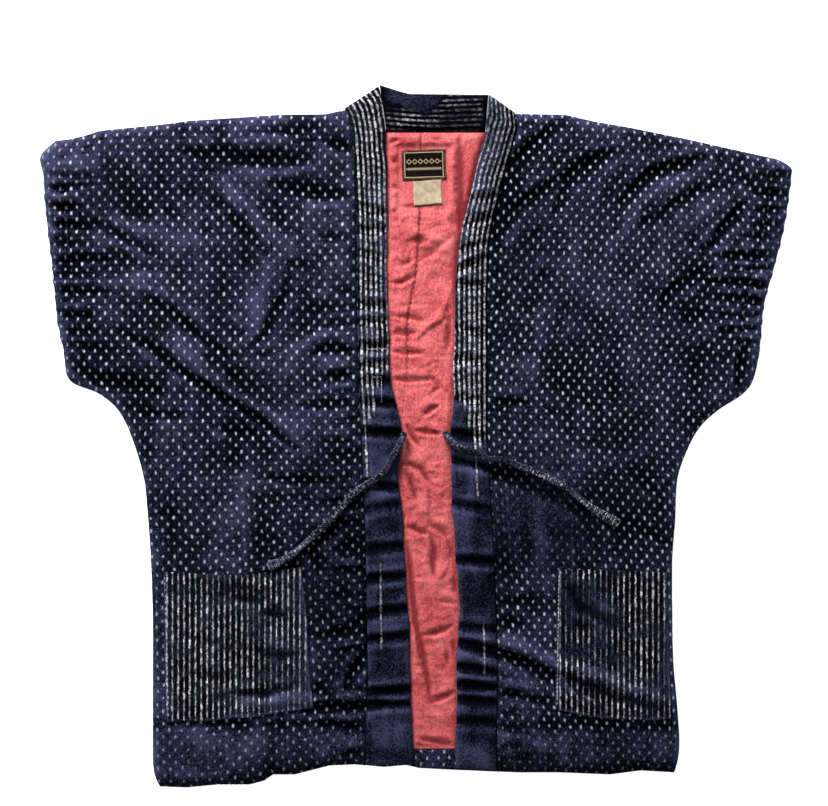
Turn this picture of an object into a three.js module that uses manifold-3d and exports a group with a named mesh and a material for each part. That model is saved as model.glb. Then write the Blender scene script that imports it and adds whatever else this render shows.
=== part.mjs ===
// Padded kimono jacket laid flat and open on a surface.
// Millimetres. +X runs across the sleeves, +Y from hem to collar, +Z up off the surface.
import * as THREE from "three";
import { mergeVertices } from "three/addons/utils/BufferGeometryUtils.js";
import Module from "manifold-3d";

const kernel = await Module();
kernel.setup();

// ---- driving sizes ----
const seamGap = 0.3; // between neighbouring pieces
const sideGap = 0.5; // between a front and its band
const backWall = 6; // padded back, underside on the surface
const liningWall = 1.2;
const frontWall = 7; // padded front
const facingWall = 1.2;
const bandWall = 7.5; // padded collar band, folded double
const bandEdge = 2.4; // band thickness at its seams
const neckBandTop = 10.5; // back-neck band lies from the surface to here
const pocketWall = 2.2;
const pocketGap = 0.45;
const labelWall = 1;
const edgeRound = 13; // how far in from the outline the cloth rolls over
const edgeWall = 1.3; // thinnest wall, at the outline
const tieWidth = 7.5;
const tieHeight = 5.6;
const tieGap = 0.4;
const cuffPuckerPitch = 17;
const seamPuckerPitch = 31;
const bandPuckerHalf = 6.5; // half-width of a pucker across the collar
const centreBackX = -1;

// ---- how finely each piece is laid out, and how far its facets may then stray ----
const frontCells = { across: 30, along: 126 };
const backCells = { across: 24, along: 40 };
const liningCells = { across: 18, along: 90 };
const bandCells = { across: 6, along: 126 };
const neckCells = { across: 12, along: 6 };
const pocketCells = { across: 12, along: 12 };
const facetError = 0.24;
const tieCells = { around: 8, along: 38 };

// ---- layers, from the surface up ----
const frontUnder = backWall + seamGap;
const liningUnder = backWall + seamGap;
const bandUnder = liningUnder + liningWall + seamGap;

// ---- outline of each side, hem to shoulder ----
// columns: outline x, outline y, collar-seam x, collar-seam y
const leftRows = [
  [-286.2, -392, -55.4, -367.4],
  [-292.9, -374.1, -55.4, -351.7],
  [-294, -340.5, -54.3, -327],
  [-294, -273.3, -53.2, -264.3],
  [-294, -206.1, -54.3, -201.6],
  [-296.2, -138.9, -55.4, -136.6],
  [-299.6, -88.5, -56.6, -87.4],
  [-304.1, -47, -58.8, -47],
  [-316.4, -4.5, -59.9, -11.2],
  [-331, 26.9, -62.2, 17.9],
  [-353.4, 47, -63.8, 42.6],
  [-387, 62.7, -64.4, 67.2],
  [-393.7, 94.1, -64.8, 96.3],
  [-401.5, 132.2, -65.5, 132.2],
  [-407.1, 191.5, -66, 191.5],
  [-413.8, 247.5, -66.6, 247.5],
  [-417.2, 295.7, -69.4, 303.5],
  [-419.4, 313.6, -72.2, 333.8],
  [-402.6, 330.4, -77.8, 365.1],
];
const rightRows = [
  [289.5, -376.3, 90.2, -375.2],
  [294, -359.5, 90.2, -358.4],
  [295.1, -334.9, 91.3, -334.9],
  [291.8, -290.1, 92.4, -286.7],
  [288.4, -250.9, 91.3, -245.3],
  [287.3, -194.9, 90.2, -194.9],
  [287.3, -138.9, 87.9, -138.9],
  [290.6, -94.1, 85.7, -94.1],
  [292.9, -49.3, 83.4, -51.5],
  [303, -17.9, 81.2, -21.3],
  [317.5, 9, 80.1, 4.5],
  [338.8, 29.1, 79.5, 26.9],
  [364.6, 45.9, 79.5, 49.3],
  [378, 63.8, 80.1, 71.7],
  [385.8, 101.9, 80.1, 107.5],
  [390.3, 146.7, 80.1, 146.7],
  [403.8, 197.1, 80.6, 194.9],
  [413.8, 239.7, 85.7, 235.2],
  [419.4, 280, 98, 282.2],
  [420.6, 297.9, 111.4, 331.5],
  [410.5, 306.9, 109.2, 360.6],
];
// columns: x, y along the shoulder line, the hem and the back neck
const leftShoulder = [
  [-402.6, 330.4], [-387, 332.1], [-370.2, 336], [-353.4, 341.6], [-319.8, 345], [-286.2, 348.3],
  [-252.6, 352.8], [-219, 355], [-185.4, 357.3], [-151.8, 359.5], [-101.4, 360.1], [-77.8, 365.1],
];
const rightShoulder = [
  [109.2, 360.6], [139.4, 360.1], [167.4, 359.5], [201, 351.7], [234.6, 346.1],
  [268.2, 339.4], [301.8, 332.6], [352.2, 321.4], [402.6, 310.2], [410.5, 306.9],
];
const backNeck = [
  [-77.8, 365.1], [-66.6, 354], [-56, 346], [-47, 343.7], [88, 340.3], [97, 346], [109.2, 360.6],
];
const hemLine = [
  [-286.2, -392], [-255.9, -393.1], [-221.2, -389.8], [-185.4, -389.8], [-168.6, -385.3], [-159.6, -378.6],
  [-135, -378.6], [-95.8, -368.5], [-67.8, -367.4], [-35.3, -370.7], [-10.6, -368.5], [3.9, -371.8],
  [46.5, -374.1], [83.4, -375.2], [117, -376.3], [161.8, -376.3], [217.8, -378.6], [251.4, -374.1], [289.5, -376.3],
];

// ---- collar bands, top to hem ----
// columns: seam x, seam y, front-edge x, front-edge y
const leftBandRows = [
  [-77.8, 365.7, -40.9, 393.1],
  [-73.4, 356.2, -37.5, 370.7],
  [-70, 331.5, -33.6, 342.7],
  [-66.6, 264.3, -31.2, 259.8],
  [-65.5, 208.3, -31.9, 208.3],
  [-65.5, 152.3, -31.9, 152.3],
  [-64.4, 96.3, -29.7, 96.3],
  [-64.4, 62.7, -27.9, 58.2],
  [-62.7, 40.3, -21.8, 35.8],
  [-61.6, 17.9, -17.4, 17.9],
  [-59.9, -4.5, -15.1, 0],
  [-58.8, -33.6, -18.5, -33.6],
  [-58.2, -52.6, -18.5, -53.8],
  [-56.6, -94.1, -14.6, -94.1],
  [-55.4, -138.9, -12.9, -138.9],
  [-54.3, -205, -7.3, -205],
  [-53.2, -273.3, -6.2, -275.5],
  [-55.4, -323.7, -4.5, -320.3],
  [-55.4, -355, -2.8, -352],
  [-55.4, -367.4, -1.8, -365.8],
];
const rightBandRows = [
  [109.2, 360.6, 82.3, 381.9],
  [113.7, 343.8, 80.6, 362.9],
  [108.1, 323.7, 79, 340.5],
  [101.4, 300.2, 72.2, 317],
  [95.8, 282.2, 63.3, 277.8],
  [84.6, 231.8, 55.4, 245.3],
  [81.2, 208.3, 47.6, 208.3],
  [80.1, 152.3, 44.2, 152.3],
  [80.1, 96.3, 42.7, 96.3],
  [80.1, 51.5, 42, 53.8],
  [80.1, 17.9, 40.3, 17.9],
  [80.6, -4.5, 38.6, 0],
  [82.3, -33.6, 39.8, -33.6],
  [84.6, -79.5, 40.9, -79.5],
  [87.9, -138.9, 45.4, -138.9],
  [90.2, -196, 49.8, -196],
  [91.8, -250.9, 46.5, -253.1],
  [91.3, -306.9, 45.9, -301.3],
  [90.4, -358, 44.4, -356],
  [90.2, -375.2, 44.8, -373],
];
// columns: y, x where the two halves of the lining meet, drawn over to the left lower down
const liningSeam = [
  [-351, -26], [-60, -24], [0, -18], [30, -14], [50, -12], [75, -9.5], [130, -9.5], [180, 0], [214, 3], [259, 5], [340, 6],
];
// columns: y at mid-width, how far the pucker slants across the band, depth
const leftBandPuckers = [
  [254, -8, 1.4], [232, 0, 1.4], [202, -10, 1.4], [148, 0, 2.2], [130, 0, 1.4], [102, 0, 3], [81, 2, 1.6], [64, 0, 1.6], [39, -2, 2.4],
  [6, -2, 2.4], [-53, -6, 2.2], [-77, 8, 1.4], [-123, 4, 1.8], [-156, 4, 2.2], [-194, 6, 2.4], [-223, 4, 2.2], [-283, 2, 3], [-297, 2, 2.2],
];
const rightBandPuckers = [
  [268, 0, 1.6], [242, 4, 1.6], [213, 8, 1.6], [195, 13, 2.4], [170, -2, 2.4], [119, -10, 1.4], [87, -6, 2], [43, -8, 1.8], [2, -8, 2],
  [-29, -10, 2.2], [-77, -10, 1.6], [-137, -3, 2.4], [-213, -3, 1.6], [-234, -10, 3], [-259, -7, 2.4], [-277, -3, 2.4], [-293, -3, 1.6], [-317, -2, 1.6],
];
// columns: x, y along the upper edge of the back-neck band
const neckBandUpper = [
  [-40.9, 392.6], [-23, 386.6], [-8.4, 382.5], [54.3, 381.9], [82, 381.5],
];

// ---- patch pockets, corners from the top left ----
const leftPocket = { topLeft: [-281.7, -151.2], topRight: [-127.1, -146.7], bottomLeft: [-277.2, -319.2], bottomRight: [-114.8, -303.5], topDip: 6, bottomDip: 3 };
const rightPocket = { topLeft: [158.5, -149], topRight: [280, -152.3], bottomLeft: [156.2, -304.6], bottomRight: [285, -314.7], topDip: 0, bottomDip: 6 };

// ---- labels on the lining ----
const wovenLabel = { x: 9.5, y: 303.5, width: 49.3, height: 33.6, turn: -1 };
const careTab = { x: 13.4, y: 272.6, width: 32.5, height: 26.9, turn: -3 };

// ---- ties, from the band outwards: x, y ----
const leftTiePath = [
  [-11.8, 4.5], [-19.6, -12.3], [-27.4, -26.9], [-37.5, -42.6], [-55.4, -53.8], [-68.9, -63.8],
  [-82.3, -79.5], [-101.4, -99.7], [-119.3, -116.5], [-141.7, -134.4], [-165.2, -146.7],
];
const rightTiePath = [
  [31.9, 5.6], [40.9, -6.7], [51, -13.4], [66.6, -17.9], [80.1, -24.6], [99.1, -26.9],
  [117, -33.6], [135, -41.4], [166.3, -56], [185.4, -71.7], [202.2, -84], [227.9, -98.6],
];

// ---- folds: a row is one crease (depth below) or ridge (height above) ----
// columns: from x, from y, to x, to y, half width, rise (minus is a crease)
const leftFolds = [
  [-207.8, 320.3, -171.9, 311.4, 12, -4],
  [-171.9, 311.4, -118.2, 314.7, 12, -4],
  [-117, 276.6, -81.2, 265.4, 11, -3],
  [-363.4, 240.8, -254.8, 222.9, 14, -3],
  [-254.8, 222.9, -156.2, 205, 14, -3],
  [-165.2, 172.5, -135, 151.2, 13, -3],
  [-390.3, 90.7, -285, 42.6, 16, -3.5],
  [-297.4, 136.6, -241.4, 96.3, 16, -3.5],
  [-241.4, 96.3, -202.2, 38.1, 16, -4],
  [-202.2, 38.1, -124.9, -17.9, 16, -4],
  [-353.4, 34.7, -272.7, 24.6, 14, -3],
  [-224.6, -282.2, -104.7, -305.8, 13, -2],
  [-224.6, 298, -146, 220, 20, 3],
  [-96, 259, -140, 214, 20, 2.5],
  [-148, 200, -185, 118, 20, 3],
  [-330, 120, -230, 20, 24, 3],
  [-250, 190, -150, 60, 26, 2.5],
  [-280, -60, -120, -90, 34, 3],
];
const rightFolds = [
  [168.6, 357.3, 127.1, 328.2, 12, -4],
  [127.1, 328.2, 104, 303.5, 12, -3.5],
  [225.7, 328.2, 180.9, 309.1, 12, -3.5],
  [180.9, 309.1, 133.8, 275.5, 12, -4],
  [133.8, 275.5, 105.8, 247.5, 12, -3],
  [322, 315.8, 279.4, 297.9, 12, -3],
  [279.4, 297.9, 241.4, 275.5, 12, -3.5],
  [241.4, 275.5, 223.4, 247.5, 12, -2.5],
  [363.4, 292.3, 280.6, 261, 13, -3],
  [385.8, 247.5, 328.7, 209.4, 13, -3.5],
  [341, 185.9, 262.6, 152.3, 14, -3],
  [113.7, 190.4, 158.5, 171.4, 13, -2.5],
  [225.7, 118.7, 225.7, 29.1, 15, -3],
  [328.7, 51.5, 379.1, 107.5, 15, -3],
  [120.4, -250.9, 182, -282.2, 12, -2],
  [182, -282.2, 251.4, -309.1, 12, -2],
  [205, 345, 150, 300, 13, 3],
  [262, 322, 205, 262, 17, 3.5],
  [330, 290, 262, 235, 18, 3.5],
  [310, 160, 280, 60, 24, 3],
  [170, 110, 160, 0, 26, 3],
  [240, -60, 130, -100, 30, 2.5],
];
const liningFolds = [
  [-4.5, 336, 2.8, 320, 8, 2],
  [21, 337, 17, 322, 8, 2],
  [-3, 256, -2, 190, 9, 1.6],
  [-2, 190, 0, 110, 9, 1.4],
  [-11, -160, -3, -196, 9, 2.2],
  [-3, -196, 12, -255, 9, 2.6],
  [12, -255, 18, -300, 9, 2.2],
  [8, 0, 34, -40, 10, 2.4],
  [2, -60, 30, -100, 11, 1.8],
  [20, 60, 24, 10, 10, 1.6],
];

// ---- helpers ----
const clamp = (t, lo = 0, hi = 1) => Math.min(hi, Math.max(lo, t));
const mix = (a, b, t) => a + (b - a) * t;
const smooth = (t) => clamp(t) ** 2 * (3 - 2 * clamp(t));

// value of a table at x, by straight lines between its rows
function along(table, x) {
  const rising = table[0][0] < table[table.length - 1][0];
  const rows = rising ? table : [...table].reverse();
  if (x <= rows[0][0]) return rows[0][1];
  for (let i = 1; i < rows.length; i++) {
    const [x0, y0] = rows[i - 1];
    const [x1, y1] = rows[i];
    if (x <= x1) return mix(y0, y1, (x - x0) / (x1 - x0));
  }
  return rows[rows.length - 1][1];
}

// a row of a table at t from 0 to 1, measured by length, rounded through its rows
function rowAt(rows, t, tension = 0.5) {
  const lengths = [0];
  for (let i = 1; i < rows.length; i++) {
    const [a, b] = [rows[i - 1], rows[i]];
    lengths.push(lengths[i - 1] + 0.5 * (Math.hypot(b[0] - a[0], b[1] - a[1]) + Math.hypot(b[2] - a[2], b[3] - a[3])));
  }
  const target = t * lengths[lengths.length - 1];
  let i = 0;
  while (i < rows.length - 2 && lengths[i + 1] < target) i++;
  const s = clamp((target - lengths[i]) / (lengths[i + 1] - lengths[i]));
  const before = rows[Math.max(0, i - 1)];
  const after = rows[Math.min(rows.length - 1, i + 2)];
  return rows[i].map((a, k) => {
    const b = rows[i + 1][k];
    const slopeA = (b - before[k]) * tension;
    const slopeB = (after[k] - a) * tension;
    const bend = s * (1 - s) ** 2 * slopeA - s ** 2 * (1 - s) * slopeB;
    return a * (1 - smooth(s)) + b * smooth(s) + bend;
  });
}

// height of the folds at a point
function foldHeight(folds, x, y) {
  let height = 0;
  for (const [x0, y0, x1, y1, halfWidth, rise] of folds) {
    const length2 = (x1 - x0) ** 2 + (y1 - y0) ** 2;
    const s = clamp(((x - x0) * (x1 - x0) + (y - y0) * (y1 - y0)) / length2);
    const distance = Math.hypot(x - mix(x0, x1, s), y - mix(y0, y1, s));
    height += rise * Math.exp(-((distance / halfWidth) ** 2));
  }
  return height;
}

// 0 at the outline, 1 once the cloth is at its full height
const roll = (distance, reach = edgeRound) => Math.sqrt(1 - (1 - clamp(distance / reach)) ** 2);

// stops from 0 to 1, closer together at both ends
function stops(count, crowd = 0.35) {
  return Array.from({ length: count + 1 }, (_, i) => {
    const t = i / count;
    return mix(t, 0.5 - 0.5 * Math.cos(Math.PI * t), crowd);
  });
}

// closed slab of cloth: at(u, v) gives x, y, top and under
function slab(us, vs, at) {
  const positions = [];
  const index = [];
  const nu = us.length;
  const nv = vs.length;
  const points = vs.map((v) => us.map((u) => at(u, v)));
  for (const side of ["top", "under"]) for (const row of points) for (const p of row) positions.push(p.x, p.y, p[side]);
  const top = (i, j) => j * nu + i;
  const under = (i, j) => nu * nv + top(i, j);
  for (let j = 0; j < nv - 1; j++) {
    for (let i = 0; i < nu - 1; i++) {
      index.push(top(i, j), top(i + 1, j), top(i + 1, j + 1), top(i, j), top(i + 1, j + 1), top(i, j + 1));
      index.push(under(i, j), under(i + 1, j + 1), under(i + 1, j), under(i, j), under(i, j + 1), under(i + 1, j + 1));
    }
  }
  const wall = (a, b) => index.push(top(...a), under(...a), under(...b), top(...a), under(...b), top(...b));
  for (let i = 0; i < nu - 1; i++) {
    wall([i, 0], [i + 1, 0]);
    wall([i + 1, nv - 1], [i, nv - 1]);
  }
  for (let j = 0; j < nv - 1; j++) {
    wall([0, j + 1], [0, j]);
    wall([nu - 1, j], [nu - 1, j + 1]);
  }
  const [p, q, r] = [points[0][0], points[0][1], points[1][0]];
  if ((q.x - p.x) * (r.y - p.y) - (q.y - p.y) * (r.x - p.x) < 0) {
    for (let k = 0; k < index.length; k += 3) [index[k], index[k + 1]] = [index[k + 1], index[k]];
  }
  return thinned(positions, index);
}

// the same closed body with as few facets as its shape needs
function thinned(positions, index) {
  const mesh = new kernel.Mesh({ numProp: 3, vertProperties: new Float32Array(positions), triVerts: new Uint32Array(index) });
  const body = new kernel.Manifold(mesh).simplify(facetError).getMesh();
  const geometry = new THREE.BufferGeometry();
  geometry.setAttribute("position", new THREE.Float32BufferAttribute(body.vertProperties, 3));
  geometry.setIndex([...body.triVerts]);
  return mergeVertices(geometry, 1e-4);
}

// highest point of the given geometries over x, y
function topOver(geometries, x, y) {
  let best = -Infinity;
  for (const geometry of geometries) {
    const p = geometry.attributes.position.array;
    const f = geometry.index.array;
    for (let k = 0; k < f.length; k += 3) {
      const [a, b, c] = [f[k] * 3, f[k + 1] * 3, f[k + 2] * 3];
      const area = (p[b] - p[a]) * (p[c + 1] - p[a + 1]) - (p[c] - p[a]) * (p[b + 1] - p[a + 1]);
      if (area < 1e-9) continue;
      const wb = ((x - p[a]) * (p[c + 1] - p[a + 1]) - (p[c] - p[a]) * (y - p[a + 1])) / area;
      const wc = ((p[b] - p[a]) * (y - p[a + 1]) - (x - p[a]) * (p[b + 1] - p[a + 1])) / area;
      if (wb < 0 || wc < 0 || wb + wc > 1) continue;
      best = Math.max(best, p[a + 2] + wb * (p[b + 2] - p[a + 2]) + wc * (p[c + 2] - p[a + 2]));
    }
  }
  return best;
}

// ---- panels ----
// the seam between a front and its band at v from hem to shoulder
function seamPoint(rows, bandRows, v) {
  const y = rowAt(rows, v)[3];
  return [rowAtHeight(bandRows, y)[0], y];
}

// a point of a side panel: u from the outline to the inner edge, v from hem to shoulder
function panelPoint(rows, innerAt, upper, u, v) {
  const [outerX, outerY, seamX, seamY] = rowAt(rows, v);
  const [innerX, innerY] = innerAt(seamX, seamY, v);
  const x = mix(outerX, innerX, u);
  const straight = mix(outerY, innerY, u);
  const first = rowAt(rows, 0);
  const last = rowAt(rows, 1);
  const hemX = mix(first[0], innerAt(first[2], first[3], 0)[0], u);
  const topX = mix(last[0], innerAt(last[2], last[3], 1)[0], u);
  const hemLift = along(hemLine, hemX) - mix(first[1], innerAt(first[2], first[3], 0)[1], u);
  const topLift = along(upper, topX) - mix(last[1], innerAt(last[2], last[3], 1)[1], u);
  return { x, y: straight + hemLift * smooth(1 - v / 0.16) + topLift * smooth((v - 0.8) / 0.2), outerX, innerX };
}

function front(rows, bandRows, shoulder, folds, side) {
  const inner = (seamX, seamY, v) => {
    const [x, y] = seamPoint(rows, bandRows, v);
    return [x + side * sideGap, y];
  };
  const length = 730;
  return slab(stops(frontCells.across), stops(frontCells.along, 0.1), (u, v) => {
    const p = panelPoint(rows, inner, shoulder, u, v);
    const width = Math.abs(p.innerX - p.outerX);
    const edge = Math.min(roll(u * width), roll(v * length), roll((1 - v) * length, 10));
    const seam = roll((1 - u) * width, 9);
    const body = p.y < 40 ? 1 : 0;
    const cuff = (1 - body) * Math.exp(-(((u * width - 20) / 26) ** 2)) * smooth((p.y - 60) / 40);
    const neckSide = Math.exp(-((((1 - u) * width) / 30) ** 2));
    let relief = foldHeight(folds, p.x, p.y);
    relief += 2.2 * cuff * Math.cos((2 * Math.PI * p.y) / cuffPuckerPitch);
    const puckered = side < 0 ? mix(1, 0.35, smooth((p.y - 150) / 60)) : mix(0.8, 0.35, smooth((p.y + 40) / 80));
    relief += 2.3 * puckered * neckSide * Math.cos((2 * Math.PI * p.y) / seamPuckerPitch) * smooth((p.y + 350) / 50);
    const height = clamp(frontWall + relief, 3.6, 13.5);
    const under = frontUnder;
    return { x: p.x, y: p.y, under, top: under + edgeWall + (height - edgeWall) * edge * mix(0.25, 1, seam) };
  });
}

function back(rows, shoulder, side) {
  const inner = (seamX, seamY, v) => [centreBackX + side * seamGap * 0.5, mix(-371.5, 342, v)];
  const upper = side < 0 ? [...shoulder, ...backNeck.slice(1)] : [...backNeck, ...shoulder.slice(1)];
  return slab(stops(backCells.across), stops(backCells.along, 0.25), (u, v) => {
    const p = panelPoint(rows, inner, upper, u, v);
    const width = Math.abs(p.innerX - p.outerX);
    const edge = Math.min(roll(u * width, 16), roll(v * 730, 16), roll((1 - v) * 730, 16));
    return { x: p.x, y: p.y, under: mix(backWall - edgeWall - 1.2, 0, edge), top: backWall };
  });
}

// ---- inside of the back, seen in the open front ----
function liningRow(v) {
  const y = mix(-350.5, 340, v);
  const left = rowAtHeight(leftBandRows, y)[0] + 4;
  const right = rowAtHeight(rightBandRows, y)[0] - 4;
  return { y, left, right };
}

// the row of a band at a height y
function rowAtHeight(rows, y) {
  const seam = along(rows.map((r) => [r[1], r[0]]), y);
  const edge = along(rows.map((r) => [r[3], r[2]]), y);
  return [seam, edge];
}

function lining(side) {
  return slab(stops(liningCells.across, 0), stops(liningCells.along, 0), (u, v) => {
    const { y, left, right } = liningRow(v);
    const middle = along(liningSeam, y);
    const x = mix(side < 0 ? left : right, middle + (side * seamGap) / 2, u);
    const open = Math.min(x - rowAtHeight(leftBandRows, y)[1], rowAtHeight(rightBandRows, y)[1] - x);
    const show = smooth((open - 7) / 9) * smooth((y + 345) / 14) * smooth((338 - y) / 6);
    const underLabel = smooth((y - 323) / 5) + smooth((252 - y) / 8); // flat under the labels
    const seam = smooth(Math.abs(x - middle) / 4);
    const rise = Math.max(0, foldHeight(liningFolds, x, y)) * show * clamp(underLabel) * mix(0.4, 1, seam);
    return { x, y, under: liningUnder + rise, top: liningUnder + rise + liningWall };
  });
}

function hemFacing() {
  const length = 19;
  return slab(stops(26, 0), stops(3, 0), (u, v) => {
    const y0 = -351.2;
    const left = rowAtHeight(leftBandRows, y0)[0] + 4;
    const right = rowAtHeight(rightBandRows, y0)[0] - 4;
    const x = mix(left, right, u);
    const y = mix(along(hemLine, x) + 1, y0 + 0.4, v);
    const open = Math.min(x + 1.8, 44.2 - x);
    const puff = 1.6 * smooth((open - 6) / 7) * Math.sin(Math.PI * mix(0.2, 1, v)) * (length / 19);
    return { x, y, under: liningUnder, top: liningUnder + facingWall + Math.max(0, puff) };
  });
}

// ---- collar ----
function band(sideRows, rows, side) {
  const edgeXAt = rows.map((r) => [r[1], r[2]]);
  const edgeYAt = rows.map((r) => [r[1], r[3]]);
  return slab(stops(bandCells.across, 0.4), stops(bandCells.along, 0.1), (u, v) => {
    const [seamX, seamY] = seamPoint(sideRows, rows, v);
    const edgeX = along(edgeXAt, seamY);
    const edgeY = along(edgeYAt, seamY);
    const x = mix(seamX, edgeX, u);
    const y = mix(seamY, edgeY, u);
    const width = Math.hypot(edgeX - seamX, edgeY - seamY);
    const length = 745;
    const ends = Math.min(roll(v * length, 9), roll((1 - v) * length, 12));
    const across = Math.min(roll(u * width, 12), roll((1 - u) * width, 14));
    let pucker = 0.5;
    for (const [middleY, slant, depth] of side < 0 ? leftBandPuckers : rightBandPuckers) {
      const t = (y - middleY - slant * side * (0.5 - u)) / bandPuckerHalf;
      pucker -= depth * Math.exp(-t * t);
    }
    const under = bandUnder - (bandUnder - 2.5) * smooth((y - 367) / 20);
    return { x, y, under, top: under + bandEdge + (bandWall - bandEdge + pucker) * across * ends };
  });
}

function neckBand() {
  return slab(stops(neckCells.across, 0.1), stops(neckCells.along, 0.3), (u, v) => {
    const guess = mix(-36, 80, u);
    const seamY = along(backNeck, guess) + sideGap;
    const upperY = along(neckBandUpper, mix(-40.9, 82, u));
    const y = mix(seamY, upperY, v);
    const x = mix(rowAtHeight(leftBandRows, y)[1] + sideGap, rowAtHeight(rightBandRows, y)[1] - sideGap, u);
    const width = upperY - seamY;
    const across = Math.min(roll(v * width, 10), roll((1 - v) * width, 12));
    const bottom = mix(2.2, 0, Math.min(roll(v * width, 10), roll((1 - v) * width, 10)));
    return { x, y, under: bottom, top: mix(5.6, neckBandTop, across) };
  });
}

// ---- patch pocket: the front's own surface moved out ----
function pocket(onto, shape) {
  const lift = (x, y) => {
    let height = -Infinity;
    for (const dx of [-3, 0, 3]) for (const dy of [-3, 0, 3]) height = Math.max(height, topOver([onto], x + dx, y + dy));
    return height + pocketGap;
  };
  const { topLeft, topRight, bottomLeft, bottomRight, topDip, bottomDip } = shape;
  return slab(stops(pocketCells.across, 0.2), stops(pocketCells.along, 0.2), (u, v) => {
    const x = mix(mix(bottomLeft[0], bottomRight[0], u), mix(topLeft[0], topRight[0], u), v);
    const dip = Math.sin(Math.PI * u);
    const low = mix(bottomLeft[1], bottomRight[1], u) - bottomDip * dip;
    const high = mix(topLeft[1], topRight[1], u) - topDip * dip;
    const y = mix(low, high, v);
    const under = lift(x, y);
    const edge = Math.min(roll(u * 130, 7), roll((1 - u) * 130, 7), roll(v * 160, 7));
    return { x, y, under, top: under + mix(0.6, 1, edge) * pocketWall };
  });
}

// ---- label: a flat rectangle on the lining ----
function label({ x, y, width, height, turn }, onto, lift) {
  const angle = THREE.MathUtils.degToRad(turn);
  return slab([0, 0.25, 0.5, 0.75, 1], [0, 0.5, 1], (u, v) => {
    const dx = (u - 0.5) * width;
    const dy = (v - 0.5) * height;
    const px = x + dx * Math.cos(angle) - dy * Math.sin(angle);
    const py = y + dx * Math.sin(angle) + dy * Math.cos(angle);
    const under = liningUnder + liningWall + lift;
    return { x: px, y: py, under, top: under + labelWall };
  });
}

// ---- tie: a sewn tube lying on what is under it ----
function tie(path, under) {
  const flat = new THREE.CatmullRomCurve3(path.map(([x, y]) => new THREE.Vector3(x, y, 0)), false, "centripetal");
  const centres = Array.from({ length: tieCells.along + 1 }, (_, i) => flat.getPointAt(i / tieCells.along));
  const tangents = centres.map((_, i) => flat.getTangentAt(i / tieCells.along));
  const ground = centres.map((p, i) => {
    let height = -Infinity;
    for (const side of [-1, -0.5, 0, 0.5, 1]) {
      for (const ahead of [-5, -2.5, 0, 2.5, 5]) {
        const x = p.x - tangents[i].y * side * tieWidth * 0.5 + tangents[i].x * ahead;
        const y = p.y + tangents[i].x * side * tieWidth * 0.5 + tangents[i].y * ahead;
        height = Math.max(height, topOver(under, x, y));
      }
    }
    return height;
  });
  // stays above the ground and eases over it
  const eased = ground.map((_, i) => {
    let height = -Infinity;
    ground.forEach((g, k) => (height = Math.max(height, g - 0.02 * Math.abs(k - i) - 0.12 * (k - i) ** 2)));
    return height;
  });
  const positions = [];
  const index = [];
  const round = tieCells.around;
  centres.forEach((p, i) => {
    const z = eased[i] + tieGap + tieHeight / 2;
    for (let k = 0; k < round; k++) {
      const angle = ((k + 0.5) / round) * 2 * Math.PI;
      const out = (Math.cos(angle) * tieWidth) / 2;
      positions.push(p.x - tangents[i].y * out, p.y + tangents[i].x * out, z + (Math.sin(angle) * tieHeight) / 2);
    }
  });
  for (let i = 0; i < tieCells.along; i++) {
    for (let k = 0; k < round; k++) {
      const [a, b] = [i * round + k, i * round + ((k + 1) % round)];
      index.push(a, b, b + round, a, b + round, a + round);
    }
  }
  for (let k = 1; k < round - 1; k++) {
    index.push(0, k + 1, k);
    const end = tieCells.along * round;
    index.push(end, end + k, end + k + 1);
  }
  return thinned(positions, index);
}

// ---- materials ----
const cloth = (name, color) => Object.assign(new THREE.MeshStandardMaterial({ color, roughness: 0.9 }), { name });
const indigoKasuri = cloth("indigo_kasuri", 0x2b2d42);
const indigoStripe = cloth("indigo_stripe", 0x3a3944);
const redLining = cloth("lining", 0xc9585b);
const blackLabel = cloth("label", 0x1a0f0c);
const creamTab = cloth("care_tab", 0xd2bb9e);
const tieCloth = cloth("tie", 0x22222e);

// ---- assembly ----
const group = new THREE.Group();
group.name = "kimono_jacket";
function add(name, geometry, material) {
  const mesh = new THREE.Mesh(geometry, material);
  mesh.name = name;
  group.add(mesh);
  return geometry;
}

add("back_left", back(leftRows, leftShoulder, -1), indigoKasuri);
add("back_right", back(rightRows, rightShoulder, 1), indigoKasuri);
const liningLeft = add("lining_left", lining(-1), redLining);
const liningRight = add("lining_right", lining(1), redLining);
add("back_hem_facing", hemFacing(), indigoKasuri);
const frontLeft = add("front_left", front(leftRows, leftBandRows, leftShoulder, leftFolds, -1), indigoKasuri);
const frontRight = add("front_right", front(rightRows, rightBandRows, rightShoulder, rightFolds, 1), indigoKasuri);
const bandLeft = add("collar_left", band(leftRows, leftBandRows, -1), indigoStripe);
const bandRight = add("collar_right", band(rightRows, rightBandRows, 1), indigoStripe);
add("collar_back_neck", neckBand(), indigoStripe);
add("pocket_left", pocket(frontLeft, leftPocket), indigoStripe);
add("pocket_right", pocket(frontRight, rightPocket), indigoStripe);
add("woven_label", label(wovenLabel, [liningLeft, liningRight], seamGap), blackLabel);
add("care_tab", label(careTab, [liningLeft, liningRight], seamGap), creamTab);
add("tie_left", tie(leftTiePath, [liningLeft, bandLeft, frontLeft]), tieCloth);
add("tie_right", tie(rightTiePath, [liningRight, bandRight, frontRight]), tieCloth);

// outline centred on the origin, underside on the surface
const box = new THREE.Box3().setFromObject(group);
const middle = box.getCenter(new THREE.Vector3());
for (const mesh of group.children) mesh.geometry.translate(-middle.x, -middle.y, -box.min.z);

export default group;
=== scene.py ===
# Padded kimono jacket, laid flat and open and seen from straight above
import math
import bpy
import numpy as np
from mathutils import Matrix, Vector
from mathutils.bvhtree import BVHTree
from mathutils.kdtree import KDTree


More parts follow.
